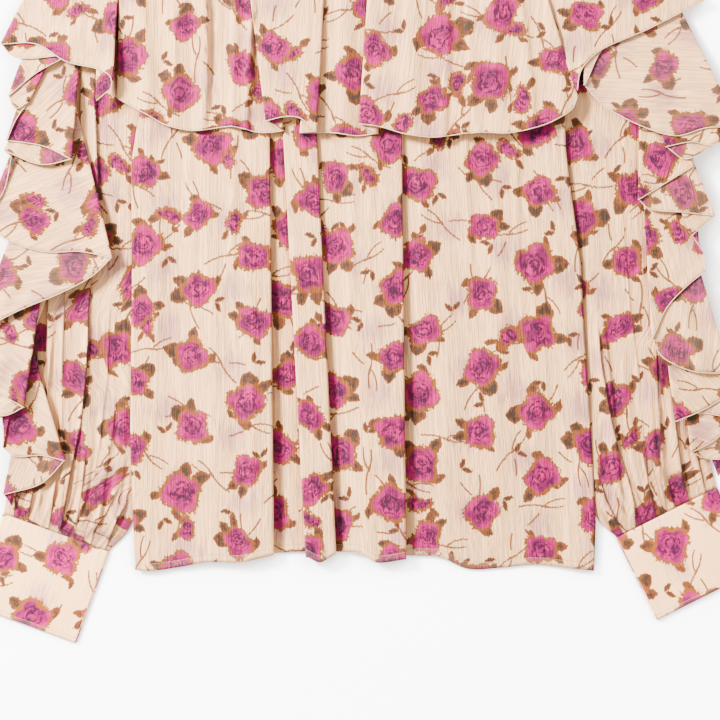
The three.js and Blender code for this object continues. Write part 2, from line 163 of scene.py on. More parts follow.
def gridQuads(columns, rows, ring):
    # corner numbers of each cell of a grid whose points are numbered down its columns
    i = np.arange(columns if ring else columns - 1)[:, None]
    j = np.arange(rows - 1)[None, :]
    here, there = i * rows + j, (i + 1) % columns * rows + j
    return np.stack([here, here + 1, there + 1, there], axis=-1).reshape(-1, 4)


def addMesh(name, points, quads, cut, values, material):
    # a smooth mesh with the cut cloth's place as its UV map, in metres, and a value per point for each name
    corner = points[quads]
    volume = np.einsum("ij,ij->i", corner[:, 0], np.cross(corner[:, 1], corner[:, 2])
                       + np.cross(corner[:, 2], corner[:, 3])).sum()
    if volume < 0:
        quads = quads[:, ::-1]
    mesh = bpy.data.meshes.new(name)
    mesh.from_pydata(points.tolist(), [], quads.tolist())
    uv = mesh.uv_layers.new(name="cut")
    uv.data.foreach_set("uv", cut[quads.ravel()].ravel())
    for label, value in values.items():
        mesh.attributes.new(label, "FLOAT", "POINT").data.foreach_set("value", value.ravel())
    mesh.polygons.foreach_set("use_smooth", np.ones(len(quads), bool))
    mesh.materials.append(material)
    mesh.update()
    made = bpy.data.objects.new(name, mesh)
    bpy.context.scene.collection.objects.link(made)
    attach(made, "root")
    return made


def shell(name, points, cut, material, thickness, ring=False, edge=None, faceUp=True, facing=None, shade=None):
    # a closed wall: the surface moved out by half the thickness to both sides, joined round its rim
    columns, rows = points.shape[:2]
    normal = surfaceNormals(points, ring) * thickness / 2000
    inner = columns * rows
    both = np.concatenate([(points + normal).reshape(-1, 3), (points - normal).reshape(-1, 3)])
    skin = gridQuads(columns, rows, ring)
    first = np.arange(columns if ring else columns - 1) * rows
    last = first + rows - 1
    nextFirst, nextLast = (first + rows) % inner, (first + rows) % inner + rows - 1
    rims = [np.stack([first, nextFirst, inner + nextFirst, inner + first], axis=-1),
            np.stack([nextLast, last, inner + last, inner + nextLast], axis=-1)]
    if not ring:
        j = np.arange(rows - 1)
        end = inner - rows + j
        rims += [np.stack([j + 1, j, inner + j, inner + j + 1], axis=-1),
                 np.stack([end, end + 1, inner + end + 1, inner + end], axis=-1)]
    quads = np.concatenate([skin, inner + skin[:, ::-1], *rims])
    flat = cut.reshape(-1, 2) / 1000
    upper = normal[:columns // 3, :, 2].mean() > 0 if ring else normal[2:8, :, 2].mean() > 0
    first, second = (0.0, 1.0) if upper == faceUp else (1.0, 0.0)
    side = np.concatenate([np.full(inner, first), np.full(inner, second)])
    if facing is not None:
        side = np.where(np.tile(facing.ravel(), 2), 0.0, side)
    toEdge = np.full(inner, 1.0) if edge is None else edge.ravel() / 1000
    # painted shade per point, which the cloth material reads from the shade attribute and darkens its colour by
    dark = np.zeros(inner) if shade is None else np.clip(shade, 0, 1).ravel()
    return addMesh(name, both, quads, np.concatenate([flat, flat]),
                   {"reverse": side, "toEdge": np.tile(toEdge, 2), "shade": np.tile(dark, 2)}, material)


def tubeAlong(name, path, normal, radius, material, sides=8):
    # a round cord: a circle carried along the path, square to it, closed at both ends
    tangent = np.gradient(path, axis=0)
    tangent /= np.maximum(np.linalg.norm(tangent, axis=1, keepdims=True), 1e-12)
    side = np.cross(tangent, normal)
    side /= np.maximum(np.linalg.norm(side, axis=1, keepdims=True), 1e-12)
    up = np.cross(side, tangent)
    angle = 2 * np.pi * np.arange(sides) / sides
    ends = np.ones(len(path))
    ends[[0, -1]] = 0.05
    ring = radius / 1000 * ends[:, None, None] * (
        np.cos(angle)[None, :, None] * side[:, None] + np.sin(angle)[None, :, None] * up[:, None])
    points = (path[:, None] + ring).reshape(-1, 3)
    i, j = np.arange(len(path) - 1)[:, None] * sides, np.arange(sides)[None, :]
    quads = np.stack([i + j, i + (j + 1) % sides, i + sides + (j + 1) % sides, i + sides + j], axis=-1).reshape(-1, 4)
    half = np.arange(sides // 2 - 1)
    caps = [np.stack([half + start, half + start + 1, start + sides - 2 - half, start + sides - 1 - half], axis=-1)
            for start in (0, len(points) - sides)]
    caps[0] = caps[0][:, ::-1]
    quads = np.concatenate([quads, *caps])
    along = np.concatenate([[0], np.cumsum(np.linalg.norm(np.diff(path, axis=0), axis=1))])
    cut = np.stack([np.repeat(along, sides), np.tile(angle * radius / 1000, len(path))], axis=-1)
    return addMesh(name, points, quads, cut, {}, material)


def foldedSheet(rows, shape):
    # Lines run from the seam to the free edge. Between two of them the sheet is straight across, plus the
    # free edge's bulge. Where a line's two layers differ the sheet turns over in a half circle, and the cut
    # cloth's place is the place in the layout, mirrored at each turn passed.
    v = np.linspace(0, 1, shape["lines"])
    spacing = shape["spacing"](v)
    lines = [row["path"](v) if "path" in row else mix(np.array(row["root"]), np.array(row["tip"]), v[:, None])
             for row in rows]
    tips = np.array([line[-1] for line in lines], float)
    roots = np.array([line[0] for line in lines], float)
    last = len(rows) - 1
    turn, move = np.eye(2), np.zeros(2)
    places, levels, cuts, panels = [], [], [], []
    starts, ends, outwards = [], [], []
    for i, row in enumerate(rows):
        along = (tips[i] - roots[i]) / np.linalg.norm(tips[i] - roots[i])
        across = np.array([along[1], -along[0]])
        lean = 2 * tips[i] - tips[max(i - 1, 0)] - tips[min(i + 1, last)]
        outwards.append(across if lean @ across > 0 else -across)
        turns = 0 < i < last and row["before"] != row["after"]
        starts.append(lines[i] - outwards[i] * (spacing / 2 * turns)[:, None])
    for i, row in enumerate(rows):
        turns = 0 < i < last and row["before"] != row["after"]
        if turns:
            angle = np.linspace(0, np.pi, shape["turnColumns"])[:, None, None]
            place = lines[i] - outwards[i] * (1 - np.sin(angle)) * (spacing / 2)[:, None]
            level = mix(row["before"], row["after"], (1 - np.cos(angle[..., 0])) / 2) + 0 * v
            mirror = np.eye(2) - 2 * np.outer(outwards[i], outwards[i])
            newTurn = turn @ mirror
            newMove = move + turn @ (2 * (roots[i] @ outwards[i]) * outwards[i])
            cut = np.where(angle < np.pi / 2, place @ turn.T + move, place @ newTurn.T + newMove)
            turn, move = newTurn, newMove
        else:
            place, level = lines[i][None], np.full((1, len(v)), float(row["after"]))
            cut = place @ turn.T + move
        places.append(place)
        levels.append(level)
        cuts.append(cut)
        panels.append(np.full(place.shape[:2], min(i, last - 1)))
        if i == last:
            break
        edge = [starts[i][-1], *row.get("via", []), starts[i + 1][-1]]
        width = np.linalg.norm(starts[i + 1][-1] - starts[i][-1])
        count = max(3, int(width / shape["step"]))
        t = np.arange(1, count + 1) / (count + 1)
        bulge = catmullRom(edge, t) - mix(starts[i][-1], starts[i + 1][-1], t[:, None]) if len(edge) > 2 else 0 * t[:, None]
        ease = (v ** shape["edgeEase"])[None, :, None]
        place = mix(starts[i][None], starts[i + 1][None], t[:, None, None]) + bulge[:, None] * ease
        places.append(place)
        levels.append(mix(row["after"], rows[i + 1]["before"], smooth(0, 1, t))[:, None] + 0 * v)
        cuts.append(place @ turn.T + move)
        panels.append(np.full(place.shape[:2], i))
    place, level, cut, panel = (np.concatenate(part) for part in (places, levels, cuts, panels))
    x, y = place[..., 0], place[..., 1]
    points = onFrame(x, y, shape["base"](x, y, v) + level * spacing)
    gaps = np.linalg.norm(np.diff(points, axis=1), axis=-1) * 1000
    toEdge = np.concatenate([np.cumsum(gaps[:, ::-1], axis=1)[:, ::-1], np.zeros((len(points), 1))], axis=1)
    return {"points": points, "cut": cut, "toEdge": toEdge, "panel": panel}


def link(tree, value, socket):
    if isinstance(value, bpy.types.NodeSocket):
        tree.links.new(value, socket)
    else:
        socket.default_value = value


def addNode(tree, kind, inputs=(), **settings):
    made = tree.nodes.new(kind)
    for key, value in settings.items():
        setattr(made, key, value)
    for key, value in dict(inputs).items():
        link(tree, value, made.inputs[key])
    return made


def calc(tree, operation, a, b=0.0, c=0.0, clamp=False):
    made = addNode(tree, "ShaderNodeMath", {0: a, 1: b, 2: c}, operation=operation, use_clamp=clamp)
    return made.outputs[0]


def vectorCalc(tree, operation, a, b=(0, 0, 0), scale=1.0):
    made = addNode(tree, "ShaderNodeVectorMath", {0: a, 1: b, 3: scale}, operation=operation)
    return made.outputs["Value" if operation in ("LENGTH", "DISTANCE", "DOT_PRODUCT") else "Vector"]


def remap(tree, value, fromMin, fromMax, toMin=0.0, toMax=1.0, kind="SMOOTHSTEP"):
    made = addNode(tree, "ShaderNodeMapRange", {"Value": value, "From Min": fromMin, "From Max": fromMax,
                                                "To Min": toMin, "To Max": toMax}, interpolation_type=kind)
    return made.outputs["Result"]


def noise(tree, point, scale, detail=2.0, roughness=0.5, output="Fac"):
    made = addNode(tree, "ShaderNodeTexNoise", {"Vector": point, "Scale": scale, "Detail": detail,
                                                "Roughness": roughness}, noise_dimensions="3D")
    return made.outputs[output]


def mixColor(tree, amount, a, b, blend="MIX"):
    made = addNode(tree, "ShaderNodeMix", data_type="RGBA", blend_type=blend)
    for value, key in ((amount, 0), (a, 6), (b, 7)):
        link(tree, value, made.inputs[key])
    return made.outputs[2]


def split(tree, vector):
    return addNode(tree, "ShaderNodeSeparateXYZ", {0: vector}).outputs


def combine(tree, x=0.0, y=0.0, z=0.0):
    return addNode(tree, "ShaderNodeCombineXYZ", {0: x, 1: y, 2: z}).outputs[0]


def newGroup(name, inputs, outputs):
    tree = bpy.data.node_groups.new(name, "ShaderNodeTree")
    for label, kind, value in inputs:
        socket = tree.interface.new_socket(name=label, in_out="INPUT", socket_type="NodeSocket" + kind)
        if value is not None:
            socket.default_value = value
    for label, kind in outputs:
        tree.interface.new_socket(name=label, in_out="OUTPUT", socket_type="NodeSocket" + kind)
    return tree, tree.nodes.new("NodeGroupInput").outputs, tree.nodes.new("NodeGroupOutput").inputs


def useGroup(tree, group, inputs):
    made = addNode(tree, "ShaderNodeGroup", node_tree=group)
    for key, value in inputs.items():
        link(tree, value, made.inputs[key])
    return made.outputs


def linear(red, green, blue):
    # a screen colour from 0 to 255 as linear light
    return tuple(((c / 255 + 0.055) / 1.055) ** 2.4 for c in (red, green, blue)) + (1.0,)


printColors = {
    "cloth": linear(254, 193, 134), "ghost": linear(196, 136, 128), "petalLight": linear(174, 0, 92),
    "petalDeep": linear(118, 0, 68), "plum": linear(38, 6, 32), "rim": linear(132, 66, 20),
    "leaf": linear(112, 58, 20), "leafDark": linear(46, 36, 26), "stem": linear(120, 62, 22),
}
# The cells that the motifs are scattered in: width, height and the turn of their rows.
printLayout = {"roseCell": (65.0, 62.0, 24.0), "budCell": (66.0, 60.0, -17.0), "stemCell": (58.0, 62.0, 51.0),
               "sprigCell": (66.0, 52.0, 8.0)}


def makeScatter():
    # a brick grid of cells, each with its own small shift and turn: gives the place within the cell in mm
    tree, given, result = newGroup("scatteredCells", [
        ("Point", "Vector", None), ("Width", "Float", 56.0), ("Height", "Float", 56.0), ("Jitter", "Float", 0.2),
        ("Seed", "Float", 0.0)], [("Local", "Vector"), ("Chance", "Vector")])
    point = split(tree, given["Point"])
    y = calc(tree, "DIVIDE", point[1], given["Height"])
    row = calc(tree, "FLOOR", y)
    x = calc(tree, "MULTIPLY_ADD", row, 0.5, calc(tree, "DIVIDE", point[0], given["Width"]))
    column = calc(tree, "FLOOR", x)
    cell = combine(tree, column, row, given["Seed"])
    first = addNode(tree, "ShaderNodeTexWhiteNoise", {"Vector": cell}, noise_dimensions="3D").outputs["Color"]
    moved = vectorCalc(tree, "ADD", cell, (17.3, 5.1, 3.7))
    second = addNode(tree, "ShaderNodeTexWhiteNoise", {"Vector": moved}, noise_dimensions="3D").outputs["Color"]
    middle = vectorCalc(tree, "SCALE", vectorCalc(tree, "SUBTRACT", first, (0.5, 0.5, 0.5)), scale=given["Jitter"])
    middle = split(tree, middle)
    inX = calc(tree, "SUBTRACT", calc(tree, "SUBTRACT", calc(tree, "FRACT", x), 0.5), middle[0])
    inY = calc(tree, "SUBTRACT", calc(tree, "SUBTRACT", calc(tree, "FRACT", y), 0.5), middle[1])
    local = combine(tree, calc(tree, "MULTIPLY", inX, given["Width"]), calc(tree, "MULTIPLY", inY, given["Height"]))
    turn = calc(tree, "MULTIPLY", split(tree, first)[2], 2 * math.pi)
    turned = addNode(tree, "ShaderNodeVectorRotate", {"Vector": local, "Angle": turn}, rotation_type="Z_AXIS")
    link(tree, turned.outputs[0], result["Local"])
    link(tree, second, result["Chance"])
    return tree


def makeLeaf():
    # half width that falls off as a parabola to both tips: gives the depth inside the leaf and the offset across it
    tree, given, result = newGroup("leafShape", [
        ("Local", "Vector", None), ("Place", "Vector", (0, 0, 0)), ("Turn", "Float", 0.0), ("Half Length", "Float", 8.0),
        ("Half Width", "Float", 4.0)], [("Depth", "Float"), ("Across", "Float")])
    moved = vectorCalc(tree, "SUBTRACT", given["Local"], given["Place"])
    turned = addNode(tree, "ShaderNodeVectorRotate", {"Vector": moved, "Angle": given["Turn"]}, rotation_type="Z_AXIS")
    place = split(tree, turned.outputs[0])
    length = calc(tree, "DIVIDE", place[1], given["Half Length"])
    half = calc(tree, "MULTIPLY", given["Half Width"], calc(tree, "SUBTRACT", 1.0, calc(tree, "MULTIPLY", length, length)))
    across = calc(tree, "ABSOLUTE", place[0])
    link(tree, calc(tree, "SUBTRACT", half, across), result["Depth"])
    link(tree, across, result["Across"])
    return tree


def makeStroke():
    # a thin bent line: within half its width of y = bend * x * x + slope * x, between two ends
    tree, given, result = newGroup("bentStroke", [
        ("Local", "Vector", None), ("Place", "Vector", (0, 0, 0)), ("Turn", "Float", 0.0), ("Bend", "Float", 0.01),
        ("Length", "Float", 20.0), ("Half Width", "Float", 0.5)], [("Mask", "Float")])
    moved = vectorCalc(tree, "SUBTRACT", given["Local"], given["Place"])
    turned = addNode(tree, "ShaderNodeVectorRotate", {"Vector": moved, "Angle": given["Turn"]}, rotation_type="Z_AXIS")
    place = split(tree, turned.outputs[0])
    line = calc(tree, "MULTIPLY", given["Bend"], calc(tree, "MULTIPLY", place[0], place[0]))
    away = calc(tree, "ABSOLUTE", calc(tree, "SUBTRACT", place[1], line))
    within = calc(tree, "MULTIPLY", calc(tree, "GREATER_THAN", place[0], 0.0), calc(tree, "LESS_THAN", place[0], given["Length"]))
    near = remap(tree, calc(tree, "SUBTRACT", given["Half Width"], away), -0.25, 0.2)
    link(tree, calc(tree, "MULTIPLY", near, within), result["Mask"])
    return tree


def makeBloom(name, leafShape, lobes, leaves):
    # petals: the union of round lobes with a ragged edge, a tan rim of uneven width, and broken plum arcs about the
    # heart, where sin(1.7 * distance + noise) passes an uneven threshold. Each leaf shows in three roses of five.
    tree, given, result = newGroup(name, [("Local", "Vector", None), ("Chance", "Vector", (0, 0, 0))],
                                   [("Color", "Color"), ("Mask", "Float")])
    chance = split(tree, given["Chance"])
    grow = remap(tree, chance[0], 0.0, 1.0, 0.95, 0.76, "LINEAR")
    squeeze = remap(tree, chance[1], 0.0, 1.0, 0.86, 1.24, "LINEAR")
    seedShift = vectorCalc(tree, "SCALE", given["Chance"], scale=60.0)
    local = vectorCalc(tree, "MULTIPLY", vectorCalc(tree, "SCALE", given["Local"], scale=grow), combine(tree, squeeze, 1.0, 1.0))
    field = vectorCalc(tree, "ADD", local, seedShift)
    wobble = vectorCalc(tree, "SUBTRACT", noise(tree, field, 0.085, 4.0, 0.66, "Color"), (0.5, 0.5, 0.5))
    ragged = vectorCalc(tree, "ADD", local, vectorCalc(tree, "SCALE", wobble, scale=8.0))
    calmer = vectorCalc(tree, "ADD", local, vectorCalc(tree, "SCALE", wobble, scale=8.0))
    depth = None
    for x, y, radius in lobes:
        away = vectorCalc(tree, "DISTANCE", ragged, (x, y, 0))
        inside = calc(tree, "SUBTRACT", radius, away)
        depth = inside if depth is None else calc(tree, "SMOOTH_MAX", depth, inside, 1.5)
    spikes = calc(tree, "MULTIPLY", calc(tree, "SUBTRACT", noise(tree, field, 0.5, 2.0, 0.6), 0.42), 9.0)
    body = remap(tree, calc(tree, "ADD", depth, spikes), 0.0, 0.5)
    rimWidth = remap(tree, noise(tree, field, 0.09, 2.0), 0.35, 0.7, 0.9, 3.4, "LINEAR")
    petals = remap(tree, calc(tree, "SUBTRACT", depth, rimWidth), -0.3, 0.7)
    away = vectorCalc(tree, "DISTANCE", ragged, (1.0, -1.0, 0))
    heart = remap(tree, away, 13.5, 7.0)
    arcs = calc(tree, "SINE", calc(tree, "MULTIPLY_ADD", away, 1.7, calc(tree, "MULTIPLY", noise(tree, field, 0.14, 2.0), 16.0)))
    least = remap(tree, noise(tree, field, 0.28, 2.0), 0.36, 0.66, 0.9, -0.5, "LINEAR")
    dark = calc(tree, "MULTIPLY", remap(tree, calc(tree, "SUBTRACT", arcs, least), 0.0, 0.5), heart)
    blotch = calc(tree, "MULTIPLY", remap(tree, noise(tree, field, 0.2, 3.0, 0.6), 0.49, 0.62), heart)
    dark = calc(tree, "MAXIMUM", dark, blotch)
    shade = remap(tree, noise(tree, field, 0.09, 3.0), 0.4, 0.62)
    petal = mixColor(tree, shade, printColors["petalLight"], printColors["petalDeep"])
    flower = mixColor(tree, calc(tree, "MULTIPLY", dark, 0.88), petal, printColors["plum"])
    leafDepth, leafAcross = None, None
    for number, (x, y, turn, halfLength, halfWidth) in enumerate(leaves):
        leaf = useGroup(tree, leafShape, {"Local": calmer, "Place": (x, y, 0), "Turn": math.radians(turn),
                                          "Half Length": halfLength, "Half Width": halfWidth})
        missing = calc(tree, "LESS_THAN", calc(tree, "FRACT", calc(tree, "MULTIPLY_ADD", chance[2], 3.7, number * 0.41)), 0.38)
        inside = calc(tree, "MULTIPLY_ADD", missing, -30.0, leaf["Depth"])
        leafDepth = inside if leafDepth is None else calc(tree, "MAXIMUM", leafDepth, inside)
    green = remap(tree, leafDepth, -0.1, 0.5)
    vein = calc(tree, "MULTIPLY", remap(tree, leafDepth, 1.0, 3.6), remap(tree, noise(tree, field, 0.16, 4.0, 0.7), 0.34, 0.54))
    leafColor = mixColor(tree, calc(tree, "MULTIPLY", vein, 0.9), printColors["leaf"], printColors["leafDark"])
    rimmed = mixColor(tree, petals, printColors["rim"], flower)
    link(tree, mixColor(tree, body, leafColor, rimmed), result["Color"])
    link(tree, calc(tree, "MAXIMUM", body, green), result["Mask"])
    return tree


def makePrint():
    # scattered stems, sprigs, buds and roses, each on its own grid of cells, laid over the ghost of the layer below
    scatter, leafShape, stroke = makeScatter(), makeLeaf(), makeStroke()
    rose = makeBloom("roseMotif", leafShape, [(0, 0, 13.0), (5, 5, 9.5), (-5, 5, 9.0), (4, -6, 9.0), (-4, -7, 8.0)], [
        (-12, -11, 55, 9.5, 7.8), (-2, -18, 8, 8.0, 5.0), (9, -16, -38, 8.0, 4.6), (15, 10, -56, 6.5, 3.8), (-15, 9, -30, 5.5, 3.2)])
    bud = makeBloom("budMotif", leafShape, [(0, 4, 7.0), (1, -2, 6.5), (-1, -7, 4.5)], [
        (-7, -12, 35, 6.5, 3.2), (6, -13, -30, 6.0, 3.0), (-9, 8, -20, 5.0, 2.4)])
    tree, given, result = newGroup("blousePrint", [("Cut", "Vector", None)], [("Color", "Color"), ("Cover", "Float")])
    point = vectorCalc(tree, "SCALE", given["Cut"], scale=1000.0)
    streak = noise(tree, vectorCalc(tree, "MULTIPLY", point, (0.75, 0.05, 1.0)), 1.0, 2.0)
    shift = calc(tree, "MULTIPLY", calc(tree, "SUBTRACT", streak, 0.5), 4.5)
    point = vectorCalc(tree, "ADD", point, combine(tree, 0.0, shift, 0.0))

    def cells(key, jitter, seed, place=point):
        width, height, turn = printLayout[key]
        turned = addNode(tree, "ShaderNodeVectorRotate", {"Vector": place, "Angle": math.radians(turn)}, rotation_type="Z_AXIS")
        return useGroup(tree, scatter, {"Point": turned.outputs[0], "Width": width, "Height": height, "Jitter": jitter,
                                        "Seed": seed})

    below = vectorCalc(tree, "MULTIPLY", vectorCalc(tree, "ADD", point, (331.0, 57.0, 0)), (-1.0, 1.0, 1.0))
    ghost = cells("roseCell", 0.2, 3.0, below)
    smear = noise(tree, vectorCalc(tree, "MULTIPLY", point, (0.22, 0.03, 1.0)), 1.0, 3.0, 0.7)
    haze = calc(tree, "ADD", calc(tree, "SUBTRACT", 19.0, vectorCalc(tree, "LENGTH", ghost["Local"])),
                calc(tree, "MULTIPLY", calc(tree, "SUBTRACT", smear, 0.5), 60.0))
    haze = remap(tree, haze, -3.0, 16.0, 0.0, 0.8)
    color = mixColor(tree, haze, printColors["cloth"], printColors["ghost"])

    stems = cells("stemCell", 0.1, 11.0)
    covers = []
    for x, y, turn, bend, length in [(-24, -6, 0, 0.009, 30), (-2, -1.2, -32, -0.014, 22), (2, -1, 25, 0.02, 20),
                                     (-20, 14, 20, -0.012, 17)]:
        covers.append(useGroup(tree, stroke, {"Local": stems["Local"], "Place": (x, y, 0), "Turn": math.radians(turn),
                                              "Bend": bend, "Length": float(length), "Half Width": 0.9})["Mask"])
    stemMask = covers[0]
    for cover in covers[1:]:
        stemMask = calc(tree, "MAXIMUM", stemMask, cover)
    color = mixColor(tree, calc(tree, "MULTIPLY", stemMask, 0.95), color, printColors["stem"])

    sprigs = cells("sprigCell", 0.3, 23.0)
    wobble = vectorCalc(tree, "SUBTRACT", noise(tree, sprigs["Local"], 0.3, 2.0, 0.5, "Color"), (0.5, 0.5, 0.5))
    place = vectorCalc(tree, "ADD", sprigs["Local"], vectorCalc(tree, "SCALE", wobble, scale=4.0))
    sprigDepth = None
    for x, y, turn, halfLength, halfWidth in [(-4, 1, 62, 6.0, 2.7), (3, -3, -20, 6.5, 2.9)]:
        leaf = useGroup(tree, leafShape, {"Local": place, "Place": (x, y, 0), "Turn": math.radians(turn),
                                          "Half Length": halfLength, "Half Width": halfWidth})
        sprigDepth = leaf["Depth"] if sprigDepth is None else calc(tree, "MAXIMUM", sprigDepth, leaf["Depth"])
    sprigColor = mixColor(tree, remap(tree, sprigDepth, 0.9, 2.4, 0.0, 0.75), printColors["leaf"], printColors["leafDark"])
    color = mixColor(tree, remap(tree, sprigDepth, -0.1, 0.4), color, sprigColor)
    cover = calc(tree, "MAXIMUM", stemMask, remap(tree, sprigDepth, -0.1, 0.4))

    for motif, key, jitter, seed in ((bud, "budCell", 0.25, 41.0), (rose, "roseCell", 0.16, 3.0)):
        cell = cells(key, jitter, seed)
        bloom = useGroup(tree, motif, {"Local": cell["Local"], "Chance": cell["Chance"]})
        mask = bloom["Mask"]
        if motif is bud:
            mask = calc(tree, "MULTIPLY", mask, calc(tree, "GREATER_THAN", split(tree, cell["Chance"])[2], 0.72))
        color = mixColor(tree, mask, color, bloom["Color"])
        cover = calc(tree, "MAXIMUM", cover, mask)
    link(tree, color, result["Color"])
    link(tree, cover, result["Cover"])
    return tree


crinkle = {"fine": (400.0, 17.0), "coarse": (120.0, 9.0), "weave": 2600.0, "depth": 0.0017, "line": 0.28, "shade": 0.48}


def makeCrinkle():
    # long narrow noise along the cloth's length, fine and coarse, less a groove where the fine one passes its
    # middle value, with a faint weave: height = amount * (0.6 fine + 0.8 coarse - groove) + 0.12 weave. Shade is
    # painted shade, darker where the crinkle is lower and darkest in the grooves.
    tree, given, result = newGroup("crinkledWeave", [("Cut", "Vector", None), ("Amount", "Float", 1.0)],
                                   [("Height", "Float"), ("Shade", "Float")])
    fine = noise(tree, vectorCalc(tree, "MULTIPLY", given["Cut"], (*crinkle["fine"], 1.0)), 1.0, 2.0, 0.6)
    coarse = noise(tree, vectorCalc(tree, "MULTIPLY", given["Cut"], (*crinkle["coarse"], 1.0)), 1.0, 2.0, 0.55)
    weave = noise(tree, given["Cut"], crinkle["weave"], 1.0)
    line = remap(tree, calc(tree, "ABSOLUTE", calc(tree, "SUBTRACT", fine, 0.47)), 0.0, 0.07, 1.0, 0.0)
    both = calc(tree, "ADD", calc(tree, "MULTIPLY", fine, 0.6), calc(tree, "MULTIPLY", coarse, 0.8))
    both = calc(tree, "SUBTRACT", both, calc(tree, "MULTIPLY", line, crinkle["line"]))
    height = calc(tree, "MULTIPLY_ADD", weave, 0.12, calc(tree, "MULTIPLY", both, given["Amount"]))
    # painted shade in the crinkle's hollows
    dim = calc(tree, "MULTIPLY", calc(tree, "SUBTRACT", 0.78, both), calc(tree, "MULTIPLY", given["Amount"], crinkle["shade"]))
    link(tree, height, result["Height"])
    link(tree, calc(tree, "SUBTRACT", 1.02, dim), result["Shade"])
    return tree


def makeHem():
    # a row of stitches at a set distance from the free edge, and the doubled band below it
    tree, given, result = newGroup("turnedHem", [
        ("Cut", "Vector", None), ("To Edge", "Float", 1.0), ("Depth", "Float", 0.0095), ("Stitch", "Float", 0.0024)],
        [("Band", "Float"), ("Thread", "Float"), ("Height", "Float")])
    away = calc(tree, "SUBTRACT", given["To Edge"], given["Depth"])
    band = remap(tree, away, 0.0, 0.0006, 1.0, 0.0)
    line = remap(tree, calc(tree, "ABSOLUTE", away), 0.0003, 0.0006, 1.0, 0.0)
    dash = calc(tree, "FRACT", calc(tree, "DIVIDE", split(tree, given["Cut"])[0], given["Stitch"]))
    thread = calc(tree, "MULTIPLY", line, calc(tree, "LESS_THAN", dash, 0.72))
    link(tree, band, result["Band"])
    link(tree, thread, result["Thread"])
    link(tree, calc(tree, "SUBTRACT", calc(tree, "MULTIPLY", band, 0.35), calc(tree, "MULTIPLY", line, 0.5)), result["Height"])
    return tree


printGroup, crinkleGroup, hemGroup = makePrint(), makeCrinkle(), makeHem()

# Painted shade, warm as light that comes through shaded cloth: where ambient occlusion finds other cloth within
# this distance, the colour darkens towards this brown by up to this amount.
paintedOcclusionShade = {"distance": 0.014, "amount": 0.6, "color": (0.46, 0.27, 0.17, 1.0)}
finishes = {
    "crinkle_chiffon": {"amount": 1.0, "tone": 0.9, "roughness": 0.78, "sheen": 0.1, "hem": 0.007},
    "flounce_chiffon": {"amount": 0.85, "tone": 0.89, "roughness": 0.75, "sheen": 0.1, "hem": -1.0},
    "cuff_cloth": {"amount": 0.22, "tone": 1.28, "roughness": 0.7, "sheen": 0.1, "hem": 0.004},
}


def makeCloth(name, finish):
    material = bpy.data.materials.new(name)
    material.use_nodes = True
    tree = material.node_tree
    shader = tree.nodes["Principled BSDF"]
    cut = addNode(tree, "ShaderNodeUVMap", uv_map="cut").outputs[0]
    reverse = addNode(tree, "ShaderNodeAttribute", attribute_name="reverse").outputs["Fac"]
    toEdge = addNode(tree, "ShaderNodeAttribute", attribute_name="toEdge").outputs["Fac"]
    paintedShade = addNode(tree, "ShaderNodeAttribute", attribute_name="shade").outputs["Fac"]
    printed = useGroup(tree, printGroup, {"Cut": cut})
    crinkled = useGroup(tree, crinkleGroup, {"Cut": cut, "Amount": finish["amount"]})
    hem = useGroup(tree, hemGroup, {"Cut": cut, "To Edge": toEdge, "Depth": finish["hem"]})
    paler = mixColor(tree, calc(tree, "MULTIPLY", reverse, 0.055), printed["Color"], linear(224, 182, 150))
    # the crinkle's painted shade, times the finish's tone, multiplies the colour
    light = calc(tree, "MULTIPLY", crinkled["Shade"], finish["tone"])
    shade = addNode(tree, "ShaderNodeCombineColor", {0: light, 1: light, 2: light})
    color = mixColor(tree, 1.0, paler, shade.outputs[0], "MULTIPLY")
    # painted shade from ambient occlusion, darkening the colour where other cloth lies near
    openness = addNode(tree, "ShaderNodeAmbientOcclusion", {"Distance": paintedOcclusionShade["distance"]}, samples=6).outputs["AO"]
    color = mixColor(tree, remap(tree, openness, 0.45, 1.0, paintedOcclusionShade["amount"], 0.0, "LINEAR"), color, paintedOcclusionShade["color"], "MULTIPLY")
    # painted shade: the shade attribute darkens the colour towards a deep red-brown in folds and recesses
    color = mixColor(tree, paintedShade, color, (0.22, 0.085, 0.055, 1.0), "MULTIPLY")
    color = mixColor(tree, calc(tree, "MULTIPLY", hem["Band"], 0.05), color, linear(250, 214, 172))
    color = mixColor(tree, calc(tree, "MULTIPLY", hem["Thread"], 0.35), color, linear(196, 156, 116))
    height = calc(tree, "ADD", crinkled["Height"], hem["Height"])
    bump = addNode(tree, "ShaderNodeBump", {"Height": height, "Strength": 0.8, "Distance": crinkle["depth"]})
    link(tree, color, shader.inputs["Base Color"])
    link(tree, bump.outputs[0], shader.inputs["Normal"])
    shader.inputs["Roughness"].default_value = finish["roughness"]
    shader.inputs["Specular IOR Level"].default_value = 0.2
    shader.inputs["Sheen Weight"].default_value = finish["sheen"]
    shader.inputs["Sheen Roughness"].default_value = 0.5
    return material


def makeThread():
    material = bpy.data.materials.new("rolled_edge")
    material.use_nodes = True
    tree = material.node_tree
    shader = tree.nodes["Principled BSDF"]
    cut = addNode(tree, "ShaderNodeUVMap", uv_map="cut").outputs[0]
    wrap = noise(tree, vectorCalc(tree, "MULTIPLY", cut, (1400.0, 500.0, 1.0)), 1.0, 1.0)
    bump = addNode(tree, "ShaderNodeBump", {"Height": wrap, "Strength": 0.5, "Distance": 0.0003})
    link(tree, bump.outputs[0], shader.inputs["Normal"])
    shader.inputs["Base Color"].default_value = linear(218, 188, 150)
    shader.inputs["Roughness"].default_value = 0.7
    shader.inputs["Specular IOR Level"].default_value = 0.2
    return material


